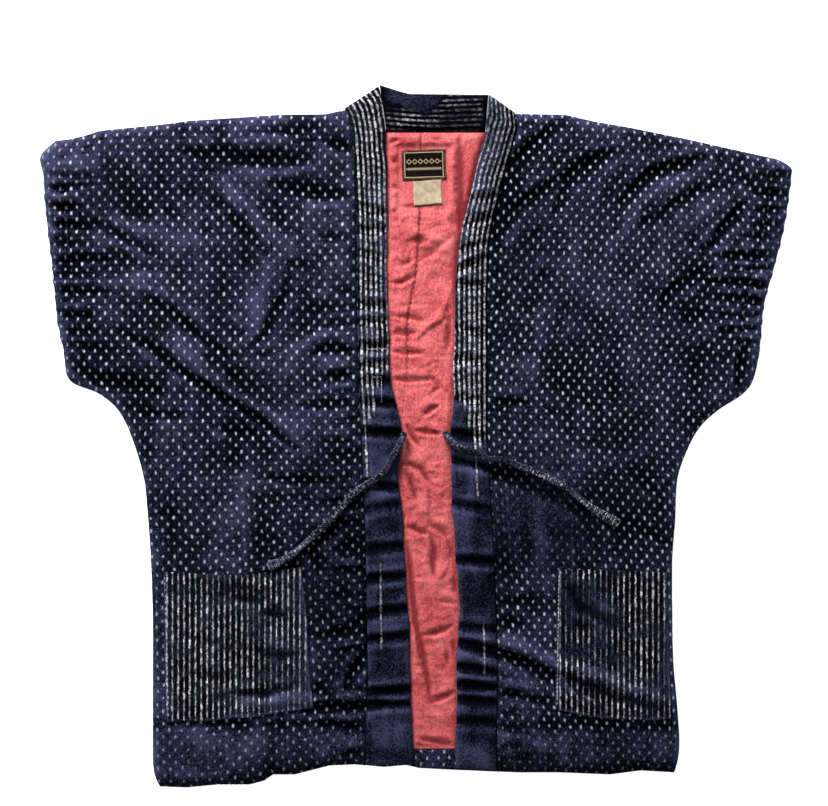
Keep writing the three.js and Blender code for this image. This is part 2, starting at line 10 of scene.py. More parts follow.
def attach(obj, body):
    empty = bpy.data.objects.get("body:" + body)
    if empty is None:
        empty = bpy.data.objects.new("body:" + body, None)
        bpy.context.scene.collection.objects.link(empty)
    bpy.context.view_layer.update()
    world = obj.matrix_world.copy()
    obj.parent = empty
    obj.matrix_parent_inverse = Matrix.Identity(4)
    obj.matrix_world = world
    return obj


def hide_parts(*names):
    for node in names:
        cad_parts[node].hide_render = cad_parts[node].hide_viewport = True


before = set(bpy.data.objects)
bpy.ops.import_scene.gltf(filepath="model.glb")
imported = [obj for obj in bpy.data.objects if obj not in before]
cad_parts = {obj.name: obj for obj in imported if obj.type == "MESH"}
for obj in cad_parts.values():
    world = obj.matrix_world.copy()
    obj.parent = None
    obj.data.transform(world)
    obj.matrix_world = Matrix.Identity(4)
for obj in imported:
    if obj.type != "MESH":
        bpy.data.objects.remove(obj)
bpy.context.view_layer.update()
mm = 0.001
scene = bpy.context.scene
bpy.ops.object.select_all(action="DESELECT")


def addObject(name, data, at=(0, 0, 0)):
    obj = bpy.data.objects.new(name, data)
    obj.location = at
    scene.collection.objects.link(obj)
    return obj


# camera, light and floor
view = {"distance": 2.4, "middle": (-0.0017, 0.037), "widthAtCloth": 0.9274, "clothHeight": 0.006, "sensor": 36}
lights = {
    "window": {"at": (-1.6, 4.0, 2.4), "size": 1.9, "power": 510},
    "fill": {"at": (0.9, -1.6, 2.6), "size": 2.6, "power": 5},
    "sky": 0.24,
    "floorGlow": 0.85,
}


def setCamera():
    data = bpy.data.cameras.new("cameraAbove")
    data.sensor_width = view["sensor"]
    data.lens = view["sensor"] * view["distance"] / view["widthAtCloth"]
    data.clip_end = 20
    scene.camera = addObject("cameraAbove", data, (*view["middle"], view["clothHeight"] + view["distance"]))


def setLights():
    for name in ("window", "fill"):
        data = bpy.data.lights.new(name, "AREA")
        data.size = lights[name]["size"]
        data.energy = lights[name]["power"]
        lamp = addObject(name, data, lights[name]["at"])
        lamp.rotation_euler = (-lamp.location).to_track_quat("-Z", "Y").to_euler()
    world = bpy.data.worlds.new("studio")
    world.use_nodes = True
    sky = world.node_tree.nodes["Background"]
    sky.inputs["Color"].default_value = (1, 1, 1, 1)
    sky.inputs["Strength"].default_value = lights["sky"]
    scene.world = world
    scene.view_settings.view_transform = "Standard"


def setFloor():
    bpy.ops.mesh.primitive_plane_add(size=6, location=(0, 0, -0.0004))
    floor = bpy.context.object
    floor.name = "floor"
    material = bpy.data.materials.new("paleFloor")
    material.use_nodes = True
    shader = material.node_tree.nodes["Principled BSDF"]
    shader.inputs["Base Color"].default_value = (0.96, 0.96, 0.96, 1)
    shader.inputs["Roughness"].default_value = 0.9
    shader.inputs["Emission Color"].default_value = (1, 1, 1, 1)
    shader.inputs["Emission Strength"].default_value = lights["floorGlow"]  # blows the shadow out to white
    floor.data.materials.append(material)
    bpy.ops.object.select_all(action="DESELECT")


setCamera()
setLights()
setFloor()
print("camera, light and floor")


# small mathematics
def pick(name, left, right):
    return left if name == "left" else right


def mix(a, b, t):
    return a + (b - a) * t


def ramp(t):
    t = np.clip(t, 0, 1)
    return t * t * (3 - 2 * t)


def bell(t):
    return np.exp(-(t**2))


def spots(table, x, y):  # rows of middle x, y, half-widths across and up, amount
    return sum(k * np.exp(-(((x - a) / wide) ** 2 + ((y - b) / high) ** 2)) for a, b, wide, high, k in table)


def roll(distance, reach):  # 0 at the outline, 1 where the cloth has its full height
    return np.sqrt(np.maximum(0, 1 - (1 - np.clip(distance / reach, 0, 1)) ** 2))


def noise(x, y, size, seed):  # smooth noise from -1 to 1, x and y in mm
    table = np.random.default_rng(seed).uniform(-1, 1, (128, 128))
    p, q = x / size, y / size
    i, j = np.floor(p).astype(int), np.floor(q).astype(int)
    s, t = ramp(p - i), ramp(q - j)
    at = lambda a, b: table[a % 128, b % 128]
    return mix(mix(at(i, j), at(i + 1, j), s), mix(at(i, j + 1), at(i + 1, j + 1), s), t)


def crumple(x, y, size, seed, layers=3):  # creased noise, with ridges like slept-in cotton
    total, weight = 0, 1
    for layer in range(layers):
        bend = noise(x, y, size * 2.3, seed + 40 + layer) * size * 0.8
        total = total + weight * (0.5 - np.abs(noise(x + bend, y - bend, size, seed + layer)) * 1.6)
        size, weight = size * 0.55, weight * 0.55
    return total


def lengthsAlong(points):
    return np.concatenate([[0], np.cumsum(np.hypot(*np.diff(points, axis=0).T))])


def rowsAt(rows, t):  # rows of a table at t from 0 to 1 by length, rounded through them
    rows = np.array(rows, float)
    length = 0.5 * (lengthsAlong(rows[:, 0:2]) + lengthsAlong(rows[:, 2:4]))
    target = np.asarray(t) * length[-1]
    i = np.clip(np.searchsorted(length, target) - 1, 0, len(rows) - 2)
    s = np.clip((target - length[i]) / (length[i + 1] - length[i]), 0, 1)[:, None]
    before, after = rows[np.maximum(i - 1, 0)], rows[np.minimum(i + 2, len(rows) - 1)]
    a, b = rows[i], rows[i + 1]
    bend = s * (1 - s) ** 2 * (b - before) * 0.5 - s**2 * (1 - s) * (after - a) * 0.5
    return a * (1 - ramp(s)) + b * ramp(s) + bend


def column(table, key, value, at):  # a column of a table looked up by another
    table = np.array(table, float)
    order = np.argsort(table[:, key])
    return np.interp(at, table[order, key], table[order, value])


def strokesOf(table):  # paths under their half-width and rise in mm, each path as x, y, x, y
    return [(np.reshape(path, (-1, 2)), *size) for size, paths in table.items() for path in paths]


def strokeHeight(strokes, x, y):  # creases and ridges drawn as soft strokes
    total = np.zeros_like(x)
    for points, halfWidth, rise in strokes:
        points = np.array(points, float)
        reached = lengthsAlong(points)
        low, high = points.min(0) - 4 * halfWidth, points.max(0) + 4 * halfWidth
        box = (x > low[0]) & (x < high[0]) & (y > low[1]) & (y < high[1])
        if not box.any():
            continue
        px, py = x[box], y[box]
        best, along, side = np.full(px.shape, 1e9), np.zeros_like(px), np.zeros_like(px)
        for k in range(len(points) - 1):
            a, d = points[k], points[k + 1] - points[k]
            s = np.clip(((px - a[0]) * d[0] + (py - a[1]) * d[1]) / (d @ d), 0, 1)
            ex, ey = px - a[0] - d[0] * s, py - a[1] - d[1] * s
            distance = np.hypot(ex, ey)
            closer = distance < best
            best = np.where(closer, distance, best)
            along = np.where(closer, (reached[k] + s * np.hypot(*d)) / reached[-1], along)
            side = np.where(closer, np.sign(d[0] * ey - d[1] * ex), side)
        wide = halfWidth * (0.75 + 0.4 * np.sin(np.pi * along)) * (1 + 0.25 * side * (1 if rise < 0 else -1))
        strength = 0.25 + 0.75 * np.sin(np.pi * np.clip(along, 0.02, 0.98)) ** 0.7
        shape = bell(best / wide)
        if rise < 0:  # cloth pushed out of a crease stands up beside it
            shape -= 0.26 * bell((best - 2.3 * wide) / (1.1 * wide))
        total[box] += rise * strength * shape
    return total


# the cut: outline tables in mm, as on the solids
centreBackX = -1.0
leftRows = [
    [-286.2, -392, -55.4, -367.4], [-292.9, -374.1, -55.4, -351.7], [-294, -340.5, -54.3, -327],
    [-294, -273.3, -53.2, -264.3], [-294, -206.1, -54.3, -201.6], [-296.2, -138.9, -55.4, -136.6],
    [-299.6, -88.5, -56.6, -87.4], [-304.1, -47, -58.8, -47], [-316.4, -4.5, -59.9, -11.2],
    [-331, 26.9, -62.2, 17.9], [-353.4, 47, -63.8, 42.6], [-387, 62.7, -64.4, 67.2],
    [-393.7, 94.1, -64.8, 96.3], [-401.5, 132.2, -65.5, 132.2], [-407.1, 191.5, -66, 191.5],
    [-413.8, 247.5, -66.6, 247.5], [-417.2, 295.7, -69.4, 303.5], [-419.4, 313.6, -72.2, 333.8],
    [-402.6, 330.4, -77.8, 365.1],
]  # outline x, outline y, seam x, seam y
rightRows = [
    [289.5, -376.3, 90.2, -375.2], [294, -359.5, 90.2, -358.4], [295.1, -334.9, 91.3, -334.9],
    [291.8, -290.1, 92.4, -286.7], [288.4, -250.9, 91.3, -245.3], [287.3, -194.9, 90.2, -194.9],
    [287.3, -138.9, 87.9, -138.9], [290.6, -94.1, 85.7, -94.1], [292.9, -49.3, 83.4, -51.5],
    [303, -17.9, 81.2, -21.3], [317.5, 9, 80.1, 4.5], [338.8, 29.1, 79.5, 26.9], [364.6, 45.9, 79.5, 49.3],
    [378, 63.8, 80.1, 71.7], [385.8, 101.9, 80.1, 107.5], [390.3, 146.7, 80.1, 146.7],
    [403.8, 197.1, 80.6, 194.9], [413.8, 239.7, 85.7, 235.2], [419.4, 280, 98, 282.2],
    [420.6, 297.9, 111.4, 331.5], [410.5, 306.9, 109.2, 360.6],
]
leftShoulder = [
    [-402.6, 330.4], [-387, 332.1], [-370.2, 336], [-353.4, 341.6], [-319.8, 345], [-286.2, 348.3],
    [-252.6, 352.8], [-219, 355], [-185.4, 357.3], [-151.8, 359.5], [-101.4, 360.1], [-77.8, 365.1],
]
rightShoulder = [
    [109.2, 360.6], [139.4, 360.1], [167.4, 359.5], [201, 351.7], [234.6, 346.1], [268.2, 339.4],
    [301.8, 332.6], [352.2, 321.4], [402.6, 310.2], [410.5, 306.9],
]
backNeck = [[-77.8, 365.1], [-66.6, 354], [-56, 346], [-47, 343.7], [88, 340.3], [97, 346], [109.2, 360.6]]
hemLine = [
    [-286.2, -392], [-255.9, -393.1], [-221.2, -389.8], [-185.4, -389.8], [-168.6, -385.3],
    [-159.6, -378.6], [-135, -378.6], [-95.8, -368.5], [-67.8, -367.4], [-35.3, -370.7], [-10.6, -368.5],
    [3.9, -371.8], [46.5, -374.1], [83.4, -375.2], [117, -376.3], [161.8, -376.3], [217.8, -378.6],
    [251.4, -374.1], [289.5, -376.3],
]
leftBandRows = [
    [-77.8, 365.7, -40.9, 393.1], [-73.4, 356.2, -37.5, 370.7], [-70, 331.5, -33.6, 342.7],
    [-66.6, 264.3, -31.2, 259.8], [-65.5, 208.3, -31.9, 208.3], [-65.5, 152.3, -31.9, 152.3],
    [-64.4, 96.3, -29.7, 96.3], [-64.4, 62.7, -27.9, 58.2], [-62.7, 40.3, -21.8, 35.8],
    [-61.6, 17.9, -17.4, 17.9], [-59.9, -4.5, -15.1, 0], [-58.8, -33.6, -18.5, -33.6],
    [-58.2, -52.6, -18.5, -53.8], [-56.6, -94.1, -14.6, -94.1], [-55.4, -138.9, -12.9, -138.9],
    [-54.3, -205, -7.3, -205], [-53.2, -273.3, -6.2, -275.5], [-55.4, -323.7, -4.5, -320.3],
    [-55.4, -355, -2.8, -352], [-55.4, -367.4, -1.8, -365.8],
]  # seam x, seam y, front edge x, front edge y
rightBandRows = [
    [109.2, 360.6, 82.3, 381.9], [113.7, 343.8, 80.6, 362.9], [108.1, 323.7, 79, 340.5],
    [101.4, 300.2, 72.2, 317], [95.8, 282.2, 63.3, 277.8], [84.6, 231.8, 55.4, 245.3],
    [81.2, 208.3, 47.6, 208.3], [80.1, 152.3, 44.2, 152.3], [80.1, 96.3, 42.7, 96.3],
    [80.1, 51.5, 42, 53.8], [80.1, 17.9, 40.3, 17.9], [80.6, -4.5, 38.6, 0], [82.3, -33.6, 39.8, -33.6],
    [84.6, -79.5, 40.9, -79.5], [87.9, -138.9, 45.4, -138.9], [90.2, -196, 49.8, -196],
    [91.8, -250.9, 46.5, -253.1], [91.3, -306.9, 45.9, -301.3], [90.4, -358, 44.4, -356],
    [90.2, -375.2, 44.8, -373],
]
liningSeam = [
    [-351, -26], [-60, -24], [0, -18], [30, -14], [50, -12], [75, -9.5], [130, -9.5], [180, 0], [214, 3],
    [259, 5], [340, 6],
]  # y, x where the two halves of the lining meet
neckBandUpper = [[-40.9, 392.6], [-23, 386.6], [-8.4, 382.5], [54.3, 381.9], [82, 381.5]]
layers = {"back": 6.0, "underLining": 6.3, "lining": 7.5, "frontUnder": 6.3, "bandUnder": 7.8}
lengths = {"side": 735, "front": 270, "back": 400, "band": 745, "bandWidth": 38}
crowdedEdge = 13  # the grids are finer within this distance of an edge
hemFoldY = -351
sides = {
    "left": {"rows": leftRows, "bands": leftBandRows, "shoulder": leftShoulder, "sign": -1},
    "right": {"rows": rightRows, "bands": rightBandRows, "shoulder": rightShoulder, "sign": 1},
}


def seamAt(name, y):  # x of the collar seam
    return column(sides[name]["bands"], 1, 0, y)


def openEdges(y):  # x of the two front edges
    return column(leftBandRows, 3, 2, y), column(rightBandRows, 3, 2, y)


def cuffAt(name, y):
    rows = np.array(sides[name]["rows"])
    rows = rows[rows[:, 1] > 60]
    return np.interp(y, rows[:, 1], rows[:, 0])


def onLine(table, x):
    return np.interp(x, *np.array(table).T)


def stopsFor(length, step, edge):  # stops along a length, crowded at both ends so that edges roll smoothly
    near = [d for d in (0, 0.25, 0.8, 1.7, 3, 4.7, 6.8, 9.3, 12.2) if d < edge]
    count = max(4, int(round((length - 2 * edge) / step)))
    middle = np.linspace(edge, length - edge, count + 1)
    return np.concatenate([near, middle, [length - d for d in reversed(near)]]) / length


def outlineGrid(side, innerAt, upper, us, vs):  # x and y of a side panel, hem to shoulder
    rows = rowsAt(side["rows"], vs)
    x, y = (mix(rows[:, k, None], inner[:, None], us[None]) for k, inner in enumerate(innerAt(rows[:, 3])))
    hemLift = onLine(hemLine, x[0]) - y[0]
    topLift = onLine(sorted(upper), x[-1]) - y[-1]
    v = vs[:, None]
    return x, y + hemLift[None] * ramp(1 - v / 0.16) + topLift[None] * ramp((v - 0.8) / 0.2)


def denseLine(x, y, step=1.0):
    d = lengthsAlong(np.column_stack([x, y]))
    t = np.linspace(0, d[-1], int(d[-1] / step) + 2)
    return np.column_stack([np.interp(t, d, x), np.interp(t, d, y)])


def borderDistance(x, y, *lines):  # distance from each point to lines of points
    line = np.concatenate(lines)
    tree = KDTree(len(line))
    for k, (a, b) in enumerate(line):
        tree.insert((a, b, 0), k)
    tree.balance()
    return np.array([tree.find((a, b, 0))[2] for a, b in zip(x.ravel(), y.ravel())]).reshape(x.shape)


def extraLength(x, y, z, axis):  # how much more cloth there is along a way than on the flat
    dx, dy, dz = (np.diff(k, axis=axis) for k in (x, y, z))
    extra = np.sqrt(dx**2 + dy**2 + dz**2) - np.sqrt(dx**2 + dy**2)
    return np.concatenate([np.zeros_like(np.take(x, [0], axis)), np.cumsum(extra, axis=axis)], axis=axis)


def smoothed(values, reach=9, times=3):  # slow changes only, so that the pattern stays upright
    for axis in (0, 1):
        for _ in range(times):
            pad = [(reach, reach) if k == axis else (0, 0) for k in (0, 1)]
            total = np.cumsum(np.pad(values, pad, mode="edge"), axis=axis)
            total = np.concatenate([np.zeros_like(np.take(total, [0], axis)), total], axis=axis)
            size = values.shape[axis]
            high = np.take(total, np.arange(2 * reach + 1, 2 * reach + 1 + size), axis)
            values = (high - np.take(total, np.arange(size), axis)) / (2 * reach + 1)
    return values


def newPiece(name, points, faces, uv, material, marks, replaced=None):  # points and uv in mm
    mesh = bpy.data.meshes.new(name)
    mesh.from_pydata((points * mm).tolist(), [], faces)
    corners = np.zeros(len(mesh.loops), dtype=int)
    mesh.loops.foreach_get("vertex_index", corners)
    layer = mesh.uv_layers.new(name="cloth")
    layer.data.foreach_set("uv", (uv[corners] * mm).astype(np.float32).ravel())
    for key, values in marks.items():
        mesh.attributes.new(key, "FLOAT", "POINT").data.foreach_set("value", values.astype(np.float32))
    mesh.update()
    mesh.shade_smooth()
    mesh.materials.append(material)
    piece = addObject(name, mesh)
    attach(piece, "root")
    if replaced:
        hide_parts(replaced)
    return piece


def gridPiece(node, x, y, top, under, uv, material, slot, **marks):  # a closed wall over a grid of points
    rows, cols = x.shape
    index = np.arange(rows * cols).reshape(rows, cols)
    ring = np.concatenate([index[0, :], index[1:, -1], index[-1, -2::-1], index[-2:0:-1, 0]])
    ringed = lambda values: np.concatenate([values.ravel(), values.ravel()[ring]])
    under = np.broadcast_to(under, x.shape)
    points = np.column_stack([ringed(x), ringed(y), np.concatenate([top.ravel(), under.ravel()[ring]])])
    corners = index[:-1, :-1], index[:-1, 1:], index[1:, 1:], index[1:, :-1]
    low = rows * cols + np.arange(len(ring))
    faces = np.column_stack([corner.ravel() for corner in corners]).tolist()
    faces += np.column_stack([np.roll(ring, -1), ring, low, np.roll(low, -1)]).tolist() + [low[::-1].tolist()]
    if (x[0, -1] < x[0, 0]) != (top.mean() < under.mean()):  # all faces point outwards
        faces = [face[::-1] for face in faces]
    marks = {key: ringed(values) for key, values in marks.items()}
    uv = np.column_stack([ringed(values) for values in uv])
    return newPiece(node + "_cloth", points, faces, uv, material, marks, node)


# shader values that can be added, subtracted, multiplied and divided
class Wire:
    def __init__(self, tree, socket):
        self.tree = tree
        self.socket = socket

    def __add__(self, other):
        return calculate("ADD", self, other)

    def __sub__(self, other):
        return calculate("SUBTRACT", self, other)

    def __rsub__(self, other):
        return calculate("SUBTRACT", other, self)

    def __mul__(self, other):
        return calculate("MULTIPLY", self, other)

    def __truediv__(self, other):
        return calculate("DIVIDE", self, other)

    def __abs__(self):
        return calculate("ABSOLUTE", self)


def feed(value, socket):  # a number, a vector, a colour or the output of another node
    if isinstance(value, Wire):
        value.tree.links.new(value.socket, socket)
    else:
        socket.default_value = (*value, 1) if socket.type == "RGBA" else value


def addNode(tree, kind, inputs, output=0, **settings):
    node = tree.nodes.new("ShaderNode" + kind)
    for key, value in settings.items():
        setattr(node, key, value)
    for key, value in inputs.items():
        feed(value, node.inputs[key])
    return Wire(tree, node.outputs[output])


def calculate(operation, *values, clamp=False):
    tree = next(value.tree for value in values if isinstance(value, Wire))
    return addNode(tree, "Math", dict(enumerate(values)), operation=operation, use_clamp=clamp)


def fade(value, start, end, low=0.0, high=1.0):
    inputs = {"Value": value, "From Min": start, "From Max": end, "To Min": low, "To Max": high}
    return addNode(value.tree, "MapRange", inputs, "Result", interpolation_type="SMOOTHSTEP")


def blend(amount, first, second):
    return addNode(amount.tree, "Mix", {0: amount, 6: first, 7: second}, 2, data_type="RGBA")


def patches(cloth, scale, detail=3.0, roughness=0.55, stretch=None):
    if stretch:
        cloth = addNode(cloth.tree, "Mapping", {"Vector": cloth, "Scale": stretch})
    inputs = {"Vector": cloth, "Scale": scale, "Detail": detail, "Roughness": roughness}
    return addNode(cloth.tree, "TexNoise", inputs, "Fac")


def splitUp(kind, value):
    node = value.tree.nodes.new("ShaderNode" + kind)
    feed(value, node.inputs[0])
    return [Wire(value.tree, output) for output in node.outputs]


def randomAt(x, y, offset=0.0):
    place = addNode(x.tree, "CombineXYZ", {0: x, 1: y, 2: offset})
    return splitUp("SeparateColor", addNode(x.tree, "TexWhiteNoise", {"Vector": place}, "Color"))


def inMillimetres(cloth):
    u, v, _ = splitUp("SeparateXYZ", cloth)
    return u * 1000.0, v * 1000.0


def mark(cloth, name):
    return addNode(cloth.tree, "Attribute", {}, "Fac", attribute_name=name)


# effects shared by several cloths
def newGroup(name, build, outputs, **inputs):
    group = bpy.data.node_groups.new(name, "ShaderNodeTree")
    group.interface.new_socket("Cloth", in_out="INPUT", socket_type="NodeSocketVector")
    for label, value in inputs.items():
        socket = group.interface.new_socket(label, in_out="INPUT", socket_type="NodeSocketFloat")
        socket.default_value = value
    for label in outputs:
        group.interface.new_socket(label, in_out="OUTPUT", socket_type="NodeSocketFloat")
    start, end = group.nodes.new("NodeGroupInput"), group.nodes.new("NodeGroupOutput")
    results = build(*[Wire(group, start.outputs[label]) for label in ("Cloth", *inputs)])
    for label, value in zip(outputs, results):
        feed(value, end.inputs[label])
    return group


def addGroup(group, cloth, **values):
    node = cloth.tree.nodes.new("ShaderNodeGroup")
    node.node_tree = group
    for key, value in {"Cloth": cloth, **values}.items():
        feed(value, node.inputs[key])
    return [Wire(cloth.tree, output) for output in node.outputs]


def resistDashes(cloth, across, down, width, height):  # every other row shifted by half a step
    u, v = inMillimetres(cloth)
    p, q = u / across, v / down
    s, t = p + q, p - q
    cellS, cellT = calculate("ROUND", s), calculate("ROUND", t)
    ds, dt = s - cellS, t - cellT
    moveX, moveY, wider = randomAt(cellS, cellT)
    higher, stronger, missing = randomAt(cellS, cellT, 7.3)
    ragged, paler, _ = randomAt(calculate("FLOOR", u / 0.62), cellT, 3.1)
    dx = (ds + dt) * across * 0.5 + (moveX - 0.5) * 0.8
    dy = (ds - dt) * down * 0.5 + (moveY - 0.5) * 1.0 + (ragged - 0.5) * 1.5
    inX = fade(abs(dx) - width * (wider * 0.55 + 0.72), -0.6, 0.7, 1.0, 0.0)
    inY = fade(abs(dy) - height * (higher * 0.62 + 0.68), -0.9, 0.9, 1.0, 0.0)
    strength = (stronger * 0.38 + 0.62) * (paler * 0.28 + 0.72)
    return [inX * inY * (strength * fade(missing, 0.0, 0.05, 0.25, 1.0))]


def slubStripes(cloth, spacing, period, width):  # pale stripes along the cloth, each a row of broken slubs
    u, v = inMillimetres(cloth)
    p = u / spacing
    line = calculate("ROUND", p)
    wander, jitter = patches(cloth, 160.0, 2.0), patches(cloth, 520.0, 2.0)
    dx = (p - line) * spacing + (wander - 0.5) * 2.4 + (jitter - 0.5) * 1.8
    q = v / period + randomAt(line, line, 5.5)[0] * 3.0
    longer, wider, paler = randomAt(line, calculate("FLOOR", q))
    place = calculate("FRACT", q)
    body = fade(place, 0.02, 0.14) * fade(place - (longer * 0.44 + 0.46), -0.1, 0.12, 1.0, 0.0)
    across = fade(abs(dx) - width * (wider * 0.8 + 0.6), -0.45, 0.55, 1.0, 0.0)
    speckle = fade(patches(cloth, 760.0, 2.0, 0.6, (1.0, 0.55, 1.0)), 0.38, 0.58, 0.22, 1.0)
    return [across * ((body + (1.0 - body) * 0.26) * ((paler * 0.5 + 0.5) * speckle))]


def plainWeave(cloth, thread):  # slightly uneven threads, for the bump
    u, v = inMillimetres(cloth)
    p, q = u / thread * math.pi, v / thread * math.pi
    warp = calculate("SINE", p) * calculate("COSINE", q)
    weft = calculate("COSINE", p) * calculate("SINE", q)
    slub = patches(cloth, 420.0, 3.0, 0.6, (1.0, 0.3, 1.0))
    cross = patches(cloth, 420.0, 3.0, 0.6, (0.3, 1.0, 1.0))
    return (abs(warp) + abs(weft)) * 0.5 * 0.5 + (slub + cross), slub


dashes = newGroup("kasuriDashes", resistDashes, ["Dash"], Across=12.7, Down=14.4, Width=1.35, Height=2.0)
stripes = newGroup("brokenStripes", slubStripes, ["Stripe"], Spacing=6.4, Period=12.6, Width=0.95)
weave = newGroup("plainWeave", plainWeave, ["Height", "Slub"], Thread=0.62)


def clothMaterial(name, build, thread=0.62, roughness=0.95, bump=0.5, depth=0.0012, gloss=0.03, sheen=0.0):
    material = bpy.data.materials.new(name)
    material.use_nodes = True
    tree = material.node_tree
    shader = tree.nodes["Principled BSDF"]
    cloth = addNode(tree, "UVMap", {}, uv_map="cloth")
    if thread:
        height, slub = addGroup(weave, cloth, Thread=thread)
        colour, extra = build(cloth, slub)
        height = height * 0.22 + extra
    else:
        colour, height = build(cloth)
    normal = addNode(tree, "Bump", {"Strength": bump, "Distance": depth, "Height": height})
    values = {"Base Color": colour, "Normal": normal, "Roughness": roughness, "Specular IOR Level": gloss}
    for key, value in {**values, "Sheen Weight": sheen, "Sheen Tint": (1.0, 0.6, 0.6)}.items():
        feed(value, shader.inputs[key])
    return material


indigo = {
    "dark": (0.0006, 0.0008, 0.0026), "mid": (0.037, 0.041, 0.094), "worn": (0.080, 0.092, 0.170),
    "dash": (0.55, 0.57, 0.68), "dashWorn": (0.20, 0.21, 0.28), "stripe": (0.88, 0.86, 0.92),
    "thread": (0.62, 0.60, 0.62),
}


def indigoGround(cloth, slub, depth=0.0, grain=1.0):  # dark cotton with thread-scale grain, paler where worn, darker where the mark carries painted crease shade
    wearAndShade = mark(cloth, "wearAndShade")
    streak = patches(cloth, 60.0, 3.0, 0.6, (1.0, 0.12, 1.0))
    coarse = patches(cloth, 540.0, 2.0, 0.6, (1.0, 0.6, 1.0))
    speckle = patches(cloth, 940.0, 2.0, 0.6, (1.0, 0.7, 1.0))
    parts = (
        (patches(cloth, 9.0, 4.0, 0.6), 0.45), (streak, 0.25), (patches(cloth, 150.0, 3.0, 0.65), 0.35),
        (coarse, 0.9 * grain), (speckle, 1.4 * grain), (slub, 0.3),
    )
    tone = wearAndShade * 0.55 + 1.15 * (1 - grain)
    for part, weight in parts:
        tone = tone + part * weight
    ground = blend(fade(tone - depth, 1.87, 2.33), indigo["dark"], indigo["mid"])
    worn = calculate("SUBTRACT", wearAndShade, 0.3, clamp=True) * fade(streak + coarse, 0.75, 1.3)
    return blend(worn, ground, indigo["worn"])


def kasuriCloth(across, down, width=0.96, height=1.48):
    def build(cloth, slub):
        bare = mark(cloth, "bare")
        dash = addGroup(dashes, cloth, Across=across, Down=down, Width=width, Height=height)[0]
        pale = blend(bare, indigo["dash"], indigo["dashWorn"])
        return blend(dash * (1.0 - bare * 0.85), indigoGround(cloth, slub), pale), patches(cloth, 260.0) * 0.35
    return build


def stripedCloth(spacing, period, width):
    def build(cloth, slub):
        show = mark(cloth, "stripe")
        stripe = addGroup(stripes, cloth, Spacing=spacing, Period=period, Width=width)[0]
        ground = indigoGround(cloth, slub, show * 0.2, 0.75)
        return blend(stripe * show, ground, indigo["stripe"]), stripe * 0.25
    return build


def liningCloth(cloth, slub):
    fine = patches(cloth, 420.0, 3.0, 0.7)
    tone = patches(cloth, 26.0, 4.0, 0.62) * 0.5 + fine * 0.6 + slub * 0.25
    colour = blend(fade(tone, 0.48, 0.86), (0.38, 0.040, 0.048), (0.80, 0.195, 0.200))
    return blend(mark(cloth, "shade") * 0.85, colour, (0.13, 0.008, 0.011)), fine * 0.3


def tieWeave(cloth, slub):  # dark cloth covered in pale slubs
    specks = patches(cloth, 520.0, 3.0, 0.7)
    amount = fade(specks, 0.52, 0.68) * mark(cloth, "speckled")
    return blend(amount, indigoGround(cloth, slub), indigo["stripe"]), specks * 0.8


def threadCloth(low, high):
    return lambda cloth, slub: (blend(fade(patches(cloth, 900.0, 2.0), 0.3, 0.7), low, high), 0.0)


def ribs(along, pitch):  # fine woven ribs, 0 to 1
    return calculate("SINE", along * (2 * math.pi / pitch)) * 0.5 + 0.5


def wovenLabelCloth(cloth):  # gold on dark satin: a border, a row of lozenges and a finer one below
    x, y, _ = splitUp("SeparateXYZ", cloth)
    inside = calculate("MAXIMUM", abs(x) - 0.0246, abs(y) - 0.0168)
    lines = fade(abs(inside + 0.0030) - 0.0004, -0.00015, 0.00015, 1.0, 0.0)
    for middle, step, reach in ((0.0038, 0.0064, 0.0042), (-0.0044, 0.0032, 0.0021)):
        across = calculate("PINGPONG", x + 0.1, step / 2)
        far = abs(across + abs(y - middle) - reach * 0.62)
        lozenge = fade(far - 0.00045, -0.0002, 0.0002, 1.0, 0.0)
        lines = calculate("MAXIMUM", lines, lozenge * fade(inside, -0.0052, -0.0046, 1.0, 0.0))
    gold = lines * fade(ribs(x, 0.0007), 0.1, 0.6, 0.55, 1.0)
    ground = blend(fade(patches(cloth, 260.0), 0.35, 0.7), (0.002, 0.0012, 0.001), (0.009, 0.005, 0.004))
    return blend(gold, ground, (0.66, 0.51, 0.31)), ribs(y, 0.0009) * 0.4 + gold * 0.6


def careTabCloth(cloth):  # bare satin tape
    rib = ribs(splitUp("SeparateXYZ", cloth)[1], 0.0008)
    colour = blend(fade(patches(cloth, 120.0), 0.3, 0.75), (0.38, 0.30, 0.19), (0.62, 0.52, 0.37))
    return blend(rib * 0.15, colour, (0.33, 0.25, 0.16)), rib


kasuriLeft = clothMaterial("kasuriLeft", kasuriCloth(12.7, 14.4))
kasuriRight = clothMaterial("kasuriRight", kasuriCloth(12.3, 14.2))
stripedBand = clothMaterial("stripedBand", stripedCloth(5.7, 8.6, 0.95))
stripedPocket = clothMaterial("stripedPocket", stripedCloth(6.45, 12.8, 0.62))
liningRed = clothMaterial("liningRed", liningCloth, 0.45, roughness=0.85, bump=0.35, sheen=0.05)
tieCloth = clothMaterial("tieCloth", tieWeave, 0.9)
pickThread = clothMaterial("pickThread", threadCloth((0.34, 0.33, 0.36), indigo["thread"]))
redThread = clothMaterial("redThread", threadCloth((0.06, 0.006, 0.008), (0.16, 0.016, 0.02)))
blueThread = clothMaterial("blueThread", threadCloth((0.03, 0.033, 0.06), (0.12, 0.13, 0.19)))
goldThread = clothMaterial("goldThread", threadCloth((0.30, 0.22, 0.12), (0.55, 0.43, 0.26)))
satin = {"thread": None, "bump": 0.4, "depth": 0.0006, "gloss": 0.05}
labelSatin = clothMaterial("wovenLabelCloth", wovenLabelCloth, roughness=0.7, **satin)
tabSatin = clothMaterial("careTabCloth", careTabCloth, roughness=0.5, **satin)
print("cloth materials")


